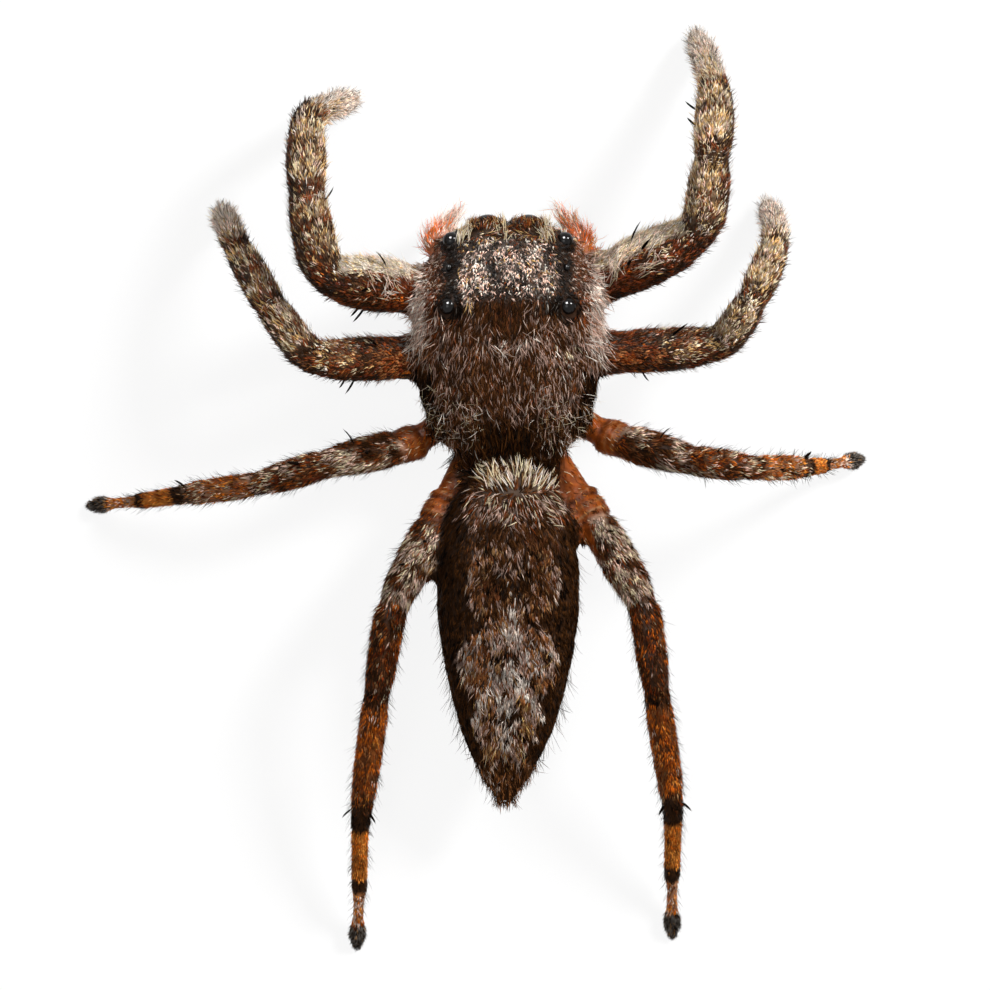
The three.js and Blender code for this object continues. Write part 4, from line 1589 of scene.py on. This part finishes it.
def back_coat():
    """The short fur behind the eyes, and the longer hairs over it and round the waist."""
    place = ON_CARAPACE * (UP > -0.35) * (BACK >= -3.05) * 950.0
    short = batch(place, back_flow, 0.3, (-0.15,), (0.13, 0.2), (0.009, 0.016), (0.1, 0.35), -0.2)
    grow("coat_back", COAT_HAIR, 1, [short])
    over = ON_CARAPACE * (step(BACK, -0.95, -0.65) * step(LEFT_RIGHT, 1.15, 0.95)) * (UP > -0.6)
    sternum = PART_NAME == "sternum"
    behind = (PART_NAME == "waist") | sternum & (LEFT_RIGHT < 0.7) & (BACK > -0.5)
    inner = sternum * step(LEFT_RIGHT, 1.05, 0.9) * step(LEFT_RIGHT, 0.5, 0.6) * step(BACK, -0.5, -0.3)
    grow("coat_back_long", COAT_HAIR, 2, [
        long_back_hairs(),
        batch(
            over * 260, straight(0, 1.0, -0.1), 0.3, "dark bark bark soot",
            (0.3, 0.55), (0.009, 0.015), (0.1, 0.5), (-0.6, 0.1), (-0.3, 0.3),
        ),
        batch(
            behind * (UP > -0.2) * 330, outward, 0.5, "dark bark soot",
            (0.3, 0.5), (0.011, 0.018), (0.1, 0.5), (-0.4, 0.2),
        ),
        batch(
            inner * (UP > -0.4) * 300, lambda spots: outward(spots) * (-1, 1, 1), 0.4, "dark bark soot",
            (0.25, 0.45), (0.01, 0.016), (0.2, 0.7), (-0.6, 0.2),
        ),
    ])


def wild_hairs():
    """Curling hairs over the rear of the carapace and long pale ones down its sides."""
    rear = step(BACK, -1.5, -1.0) * step(BACK, -0.2, -0.35) * step(LEFT_RIGHT, 0.3, 0.6)
    sides = step(LEFT_RIGHT, 1.3, 1.55) * step(BACK, -4.2, -3.9) * step(BACK, -1.7, -2.2)
    grow("coat_fringe", COAT_HAIR, 3, [
        batch(
            ON_CARAPACE * (UP > 0.0) * rear * 115, outward, 1.3, "cream pale white fawn",
            (0.18, 0.4), (0.0032, 0.0055), (0.3, 0.9), (-1.4, 0.4), (-3.0, 3.0), tight=0.0,
        ),
        batch(
            ON_CARAPACE * (UP > -0.6) * sides * 210, outward, 0.25, "pale white mauve pink tan",
            (0.18, 0.36), (0.005, 0.008), (0.35, 0.9), (-0.8, 0.1), (-0.6, 0.6),
        ),
    ])


def face_hairs():
    """Lashes round the big eyes, cream tufts at the head's corners and a pale beard under the eyes."""
    lash = eye_share(skin.points, 0.12) * ON_CARAPACE * step(UP, -0.3, 0.1)
    across = skin.points[:, 0]
    corners = hump(across, 0.86, 0.11) + hump(across, -0.76, 0.11) + 0.5 * hump(across, 0.08, 0.09)
    corners = corners * step(BACK, -3.95, -4.12) * step(UP, -0.5, 0.1)
    corners = ON_CARAPACE * np.clip(corners - 0.15, 0, 1)
    face = step(UP, 0.2, -0.2) * step(BACK, -3.95, -4.1) * (skin.points[:, 2] < 1.5)
    grow("coat_face", COAT_HAIR, 3, [
        batch(
            lash * 1900, lash_flow, 0.25, "russet tan gold bark dark dark rust",
            (0.14, 0.3), (0.006, 0.011), (0.05, 0.35), (-0.5, 0.0), (-0.2, 0.2), tight=0.0,
        ),
        batch(
            corners * 900, straight(0, -1, 0.3), 0.3, "cream cream white fawn",
            (0.2, 0.38), (0.006, 0.01), (0.2, 0.8), (-0.5, 0.3), (-0.6, 0.6),
        ),
        batch(
            ON_CARAPACE * face * 420, straight(0, -0.5, -1), 0.3, "cream white pale fawn",
            (0.16, 0.32), (0.007, 0.012), (0.2, 0.6), (-0.5, 0.3),
        ),
    ])


def abdomen_coat():
    """The abdomen's short fur, in two pieces whose seam is across its middle."""
    for name, wanted in (("coat_abdomen_front", BACK < 2.75), ("coat_abdomen_rear", BACK >= 2.7)):
        spots = field.scatter(ON_ABDOMEN * (UP > -0.55) * wanted * (750.0 + 450 * (UP > 0.2)))
        band = step(band_share(spots["root"]), -0.05, 0.05)
        shape = measured(spots, (0.12, 0.2), (0.008, 0.013), (0.1, 0.35), -0.2, tight=0.55)
        shape["width"] = shape["width"] + 0.002 * band
        shape["lift"] = shape["lift"] + 0.15 * band
        lie = laid(spots, abdomen_flow(spots), 0.25)
        grow(name, COAT_HAIR, 1, [(spots, lie, drawn(spots, 0, 0.5, 0.65), shape)])


def long_abdomen_hairs():
    """The raised ruff at the abdomen's front, the fan behind it and longer hairs down the band."""
    off = np.abs(abdomen_line(skin.points))
    ruff = step(BACK, 0.6, 0.45) * step(UP, 0.0, 0.2) * step(off, 0.72, 0.58)
    behind = step(BACK, 0.42, 0.55) * step(BACK, 1.2, 0.75) * step(UP, 0.0, 0.3) * step(off, 0.9, 0.75)
    band = step(band_share(skin.points), -0.05, 0.1) * (UP > 0.2) * step(BACK, 1.0, 1.3)
    grow("coat_abdomen_long", COAT_HAIR, 2, [
        batch(
            ON_ABDOMEN * ruff * 210, ruff_flow, 0.3, "cream cream white pale fawn fawn",
            (0.22, 0.4), (0.008, 0.014), (0.3, 0.9), (-0.5, 0.2), (-0.4, 0.4), tint_first=True,
        ),
        batch(
            ON_ABDOMEN * behind * 230, fan_flow, 0.25, "pale pink russet mauve cream rust bark",
            (0.2, 0.34), (0.007, 0.012), (0.25, 0.6), (-0.6, 0.0), (-0.4, 0.4),
            tight=0.6, tint_first=True,
        ),
        batch(
            ON_ABDOMEN * band * 230, abdomen_flow, 0.25, (0.3, 0.5, 0.6),
            (0.16, 0.28), (0.006, 0.01), (0.25, 0.6), (-0.7, 0.0), (-0.4, 0.4), swirl=0.5, tight=0.6,
        ),
    ])


def abdomen_bristles():
    """Dark hairs down the flanks, long pale ones at the band's corners and the tail's tuft."""
    off = np.abs(abdomen_line(skin.points))
    flank = step(UP, 0.5, 0.2) * (UP > -0.5) * step(BACK, 0.8, 1.5)
    flank = batch(
        ON_ABDOMEN * flank * (40 + 60 * step(BACK, 3.0, 4.4)),
        lambda spots: outward(spots) + 1.5 * abdomen_flow(spots), 0.3, "dark bark black bark",
        (0.2, 0.4), (0.004, 0.0065), (0.2, 0.8), (-0.6, 0.4), (-0.5, 0.5),
    )
    spots, _, _, shape = flank
    shape["length"] = shape["length"] * (1 + 0.3 * step(spots["root"][:, 1], 3.0, 4.4))
    edge = hump(band_share(skin.points), 0.08, 0.08) * (hump(BACK, 3.7, 0.3) + hump(BACK, 4.7, 0.15))
    edge = edge * (UP > 0.1)
    tip = hump(BACK, 5.3, 0.16) * step(off, 0.42, 0.3)
    tail = ((PART_NAME == "spinnerets") | (ON_ABDOMEN & (BACK > 5.4))) * step(BACK, 5.45, 5.7)
    grow("coat_abdomen_bristles", COAT_HAIR, 3, [
        flank,
        batch(
            ON_ABDOMEN * (np.maximum(edge - 0.1, 0) * 40 + np.maximum(tip - 0.1, 0) * 150),
            lambda spots: 0.5 * outward(spots) + 2 * abdomen_flow(spots), 0.25, "gold fawn cream tan",
            (0.22, 0.46), (0.004, 0.0055), (0.2, 0.7), (-1.1, -0.3), (-0.5, 0.5),
        ),
        batch(
            tail * 420, straight(0, 1.0, 0.2), 0.25, "bark dark bark brown dark tan",
            (0.14, 0.28), (0.006, 0.01), (0.3, 0.8), (-0.5, 0.1), (-0.4, 0.4),
        ),
    ])


# How long the hairs are on a hind leg, by the place along it.
HIND_LENGTHS = ((0, 1, 1.2, 3, 4, 4.4, 4.6, 5), (1.5, 1.5, 1.25, 1.0, 0.7, 0.7, 1.0, 0.9))


def limb_coat(name):
    """A leg's short coat, which is thick at the foot and thin on the bare root of a hind leg."""
    front = pair_of(name) < 3
    thick = (900, 850, 900, 1400, 1500) if front else (900, 850, 900, 3000, 3200)
    density = (skin.limb == LIMB_NAMES.index(name)) * np.interp(skin.along, (0, 3, 4.0, 4.6, 5), thick)
    spots = field.scatter(density * (1 - 0.6 * shell))
    along = skin.along[spots["point"]]
    bald = shell[spots["point"]]
    tuft = step(along, 4.48, 4.64)
    if front:
        length = vary(spots, 0.1, 0.16) * np.interp(along, (0, 3.5, 4.4, 5), (1, 1, 0.85, 0.75))
        lift = vary(spots, 0.15, 0.6) * np.interp(along, (0, 3.5, 4.4), (1, 1, 0.7))
        width = vary(spots, 0.009, 0.017)
        slot, material = "front_leg_scales", SCALE_HAIR
    else:
        length = vary(spots, 0.09, 0.15) * np.interp(along, *HIND_LENGTHS) * (1 - 0.35 * bald)
        lift = vary(spots, 0.1, 0.55) + 0.6 * tuft
        width = vary(spots, 0.008, 0.013) * (1 - 0.4 * tuft) * (1 - 0.4 * bald)
        slot, material = "hind_leg_hair", COAT_HAIR
    shape = measured(spots, length, width, lift, -0.2 - 0.6 * tuft)
    lie = laid(spots, down_limb(spots), 0.3 + 0.3 * tuft)
    grow(f"coat_{name}", material, 1, [(spots, lie, drawn(spots, 0, 0.6, 0.45), shape)])


def knee_rings(front):
    """A ring of short pale hairs across each front knee."""
    arc = hump(skin.along, 1.985, 0.012) * step(np.cos(skin.round - 0.2), -0.1, 0.3)
    spots = field.scatter(front * np.maximum(arc - 0.1, 0) * 1500)
    shape = measured(spots, (0.08, 0.14), (0.008, 0.012), (0.1, 0.4), -0.5, tight=0.0)
    return spots, skin.forward[spots["point"]], one_of(spots, "cream white pale"), shape


def dark_bristles():
    """Fine dark hairs that stand out along the hind legs, shorter towards the feet."""
    thick = np.interp(skin.along, (0, 1, 3, 4), (60, 100, 110, 120))
    place = (LEG_PAIR > 2) * (1 - shell) * step(skin.along, 4.5, 4.2) * thick
    made = batch(
        place, down_limb, 0.25, "black soot dark",
        (0.16, 0.33), (0.0035, 0.0055), (0.5, 1.0), (-0.7, 0.0), (-0.4, 0.4),
    )
    spots, _, _, shape = made
    shape["length"] = shape["length"] * np.interp(skin.along[spots["point"]], (0, 3, 5), (1, 1, 0.7))
    return made


def limb_long_hairs():
    """Longer hairs that stand out along the legs, dark bristles, and the front feet's pale brushes."""
    along = skin.along
    front = (LEG_PAIR == 1) | (LEG_PAIR == 2)
    thigh = (LEG_PAIR == 1) * step(along, 0.02, 0.12) * step(along, 0.75, 0.45)
    thigh = thigh * step(np.cos(skin.round - 0.5), 0.2, 0.6)
    grow("coat_leg_bristles", COAT_HAIR, 2, [
        batch(
            front * step(along, 0.1, 0.3) * step(along, 4.6, 4.0) * 130, down_limb, 0.25, (-0.1,),
            (0.14, 0.26), (0.005, 0.009), (0.45, 1.0), (-0.7, 0.0), (-0.4, 0.4),
        ),
        batch(
            front * step(along, 3.1, 3.6) * 380, down_limb, 0.3, "white pale grey",
            (0.14, 0.26), (0.003, 0.005), (0.3, 0.8), (-0.5, 0.3), (-0.4, 0.4),
        ),
        dark_bristles(),
        batch(
            shell * (UP > -0.2) * 130, outward, 0.3, "amber tan cream bark rust dark",
            (0.1, 0.2), (0.004, 0.007), (0.1, 0.5), (-0.5, 0.0), (-0.3, 0.3), tint_first=True,
        ),
        batch(
            thigh * 190, lambda spots: down_limb(spots) + 0.5 * skin.forward[spots["point"]], 0.3,
            "pink cream white pale",
            (0.3, 0.55), (0.006, 0.009), (0.15, 0.45), (-0.8, -0.2), (-0.9, 0.9), tight=0.7,
        ),
        knee_rings(front),
    ])


def palp_coat():
    """Each feeler's short coat, and the plume of long hairs at its end."""
    for name in PALPS:
        here = skin.limb == LIMB_NAMES.index(name)
        short = batch(
            here * (750.0 - 250 * step(skin.along, 0.8, 1.3)), down_limb, 0.3, (0.3,),
            (0.1, 0.18), (0.006, 0.011), (0.1, 0.4), -0.2,
        )
        grow(f"coat_{name}", COAT_HAIR, 1, [short])
        plume = batch(
            here * step(skin.along, 0.3, 1.0) * 300, down_limb, 0.3, (0.5,),
            (0.3, 0.5), (0.005, 0.008), (0.2, 0.6), (-0.9, 0.0), (-0.4, 0.4), (0.2, 0.6), tight=0.7,
        )
        grow(f"coat_{name}_long", COAT_HAIR, 3, [plume])


def underside_coat():
    """Plain fur below the body, except on the bare roots of the legs."""
    body = (PART_NAME == "sternum") | (PART_NAME == "waist") | ((ON_ABDOMEN | ON_CARAPACE) & (UP <= -0.3))
    place = (body & (skin.limb < 0)) * (1 - 0.95 * shell) * 520
    short = batch(
        place, straight(0, 1.0, -0.1), 0.4, (),
        (0.14, 0.24), (0.009, 0.015), (0.15, 0.4), -0.2,
    )
    grow("coat_underside", COAT_HAIR, 1, [short])


def jaw_coat():
    """Pale hair down the front of the jaws, thick at the top and thin lower down."""
    anchor = np.flatnonzero(ON_CARAPACE)[0]
    batches = []
    for name in JAWS:
        mesh = bpy.data.objects[name.replace("jaw", "chelicera")].data
        points = from_frame(points_of(mesh))
        normals = normals_of(mesh)
        height = step(points[:, 2], points[:, 2].min() + 0.15, points[:, 2].max())
        wanted = step(normals[:, 1], 0.1, -0.5) * (0.04 + 0.5 * height)
        here = np.flatnonzero(rng.random(len(points)) < wanted)
        spots = {"root": points[here], "normal": normals[here], "point": np.full(len(here), anchor)}
        spots["leader"] = gathered_to(spots["root"])
        shape = measured(spots, (0.1, 0.22), (0.006, 0.01), (0.1, 0.5), (-0.5, 0.1), (-0.4, 0.4))
        lie = laid(spots, straight(0, -0.1, -1.0)(spots), 0.25)
        batches.append((spots, lie, one_of(spots, "cream pale white fawn tan"), shape))
    grow("coat_jaws", COAT_HAIR, 2, batches)


# ---- spines, claws and fangs ----

# Leg, place along it, place round it in degrees from the top towards the front, length, how far
# it leans to the foot.
SPINES = (
    ("leg_1_left", 0.52, 40, 0.56, 0.85),
    ("leg_1_left", 0.55, -100, 0.36, 0.4),
    ("leg_1_left", 0.62, -95, 0.24, 0.4),
    ("leg_1_left", 0.72, -20, 0.4, 0.8),
    ("leg_1_left", 1.9, 80, 0.3, 0.6),
    ("leg_1_right", 0.5, 60, 0.54, 0.85),
    ("leg_1_right", 0.58, 20, 0.46, 0.85),
    ("leg_1_right", 0.42, 5, 0.36, 0.6),
    ("leg_1_right", 2.75, 95, 0.36, 0.7),
    ("leg_1_right", 2.45, 85, 0.26, 0.7),
    ("leg_2_left", 0.5, 30, 0.44, 0.8),
    ("leg_2_left", 0.62, -95, 0.34, 0.4),
    ("leg_2_left", 0.74, -90, 0.22, 0.4),
    ("leg_2_right", 0.66, 40, 0.5, 0.8),
    ("leg_2_right", 0.35, -90, 0.26, 0.4),
    ("leg_3_left", 0.72, 40, 0.52, 0.3),
    ("leg_3_left", 0.62, 0, 0.3, 0.4),
    ("leg_3_left", 1.3, 30, 0.28, 0.7),
    ("leg_3_right", 0.66, 40, 0.5, 0.5),
    ("leg_3_right", 0.55, -10, 0.3, 0.4),
    ("leg_3_right", 1.5, 40, 0.26, 0.7),
    ("leg_4_left", 0.45, 10, 0.3, 0.4),
    ("leg_4_left", 0.7, 30, 0.28, 0.5),
    ("leg_4_right", 0.4, 20, 0.4, 0.3),
    ("leg_4_right", 0.66, 0, 0.3, 0.5),
)
# The same spines stand on both sides at the far end of each hind shin.
SHIN_SPINES = tuple(
    (f"leg_{pair}_{side}", 2.98, turn, length, 0.7)
    for pair, turn, length in ((4, 80, 0.26), (4, -60, 0.22), (3, 70, 0.22))
    for side in SIDES
)


def skin_at(limb, along, turn):
    """The skin's point nearest to a place along and round a limb."""
    here = np.flatnonzero(skin.limb == LIMB_NAMES.index(limb))
    angle = np.abs((skin.round[here] - turn + math.pi) % (2 * math.pi) - math.pi)
    return here[np.argmin(np.abs(skin.along[here] - along) * 1.5 + angle * 0.25)]


def spines():
    """The legs' black spines, and the dark bristles beside the head."""
    rows = SPINES + SHIN_SPINES
    point = np.array([skin_at(leg, along, math.radians(turn)) for leg, along, turn, _, _ in rows])
    spots = {"root": skin.points[point], "normal": skin.normals[point], "point": point}
    length, lean = (np.array([row[i] for row in rows]) for i in (3, 4))
    shape = measured(spots, length, 0.04, 1.45 - 0.8 * lean, -0.25)
    bristled = ON_CARAPACE * hump(LEFT_RIGHT, 1.5, 0.16) * hump(BACK, -3.7, 0.25) * (UP > -0.3)
    bristled = np.maximum(bristled - 0.2, 0)
    grow("spines", COAT_HAIR, 3, [
        (spots, skin.axis[point], one_of(spots, "black"), shape),
        batch(
            bristled * 90, lambda spots: outward(spots) * (1, -0.6, 1), 0.3, "black soot",
            (0.3, 0.55), (0.005, 0.008), (0.2, 0.6), (-0.4, 0.1),
        ),
    ])


HORN_STEPS = 5


def horn(bm, root, ahead, bend, length, width):
    """A curved, tapering claw: a ring that is extruded, moved and shrunk step by step to a point."""
    ring = bmesh.ops.create_circle(bm, cap_ends=True, segments=10, radius=width)
    turn = Vector(ahead).to_track_quat("Z", "Y").to_matrix()
    bmesh.ops.rotate(bm, verts=ring["verts"], matrix=turn)
    bmesh.ops.translate(bm, verts=ring["verts"], vec=Vector(root))
    face = ring["verts"][0].link_faces[0]
    way = Vector(ahead)
    for count in range(HORN_STEPS):
        way = (way + Vector(bend) / HORN_STEPS).normalized()
        face = bmesh.ops.extrude_discrete_faces(bm, faces=[face])["faces"][0]
        middle = face.calc_center_median()
        narrow = 1 - 1 / (HORN_STEPS - count + 0.3)
        for vert in face.verts:
            vert.co = middle + (vert.co - middle) * narrow + way * (length / HORN_STEPS)


def add_horns(name, horns):
    """Makes one piece of several claws."""
    bm = bmesh.new()
    for one in horns:
        horn(bm, *one)
    bmesh.ops.remove_doubles(bm, verts=bm.verts, dist=1e-5)
    bmesh.ops.recalc_face_normals(bm, faces=bm.faces)
    mesh = mesh_from(bm, name)
    points = points_of(mesh)
    points[:, 2] = np.maximum(points[:, 2], SOLE)
    set_points(mesh, to_frame(points))
    add_piece(name, mesh, CLAW_BLACK)


def claws():
    """Two hooks at the end of each leg, among its last hairs."""
    horns = []
    for leg in LEGS:
        tip = np.flatnonzero((skin.limb == LIMB_NAMES.index(leg)) & (skin.along > 4.9))
        middle = skin.points[tip].mean(axis=0)
        axis = unit(skin.axis[tip].mean(axis=0))
        side = np.cross(axis, (0, 0, 1.0))
        for turn in (-0.045, 0.045):
            root = middle + side * turn + np.array([0, 0, 0.02])
            horns.append((root, unit(axis + np.array([0, 0, 0.2])), (0, 0, -1.6), 0.16, 0.018))
    add_horns("claws", horns)


def fangs():
    """A short curved fang under each jaw, folded in towards the middle."""
    horns = []
    for name in JAWS:
        low, high = (from_frame(c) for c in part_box(name))
        middle = (low[0] + high[0]) / 2
        inward = -np.sign(middle)
        root = (middle - 0.08 * inward, low[1] + 0.4 * (high[1] - low[1]), low[2] + 0.08)
        ahead = unit(np.array([0.5 * inward, 0.1, -0.6]))
        horns.append((root, ahead, (1.4 * inward, 0.5, 0.9), 0.3, 0.06))
    add_horns("fangs", horns)


# ---- making everything ----

make_camera()
make_floor()
make_world()
make_lamps()
bpy.context.scene.view_settings.view_transform = "Standard"

head_coat()
back_coat()
wild_hairs()
face_hairs()
abdomen_coat()
long_abdomen_hairs()
abdomen_bristles()
for limb_name in LEGS:
    limb_coat(limb_name)
limb_long_hairs()
palp_coat()
underside_coat()
spines()
claws()
fangs()
make_eyes()
make_jaws()
jaw_coat()
finish_skin()
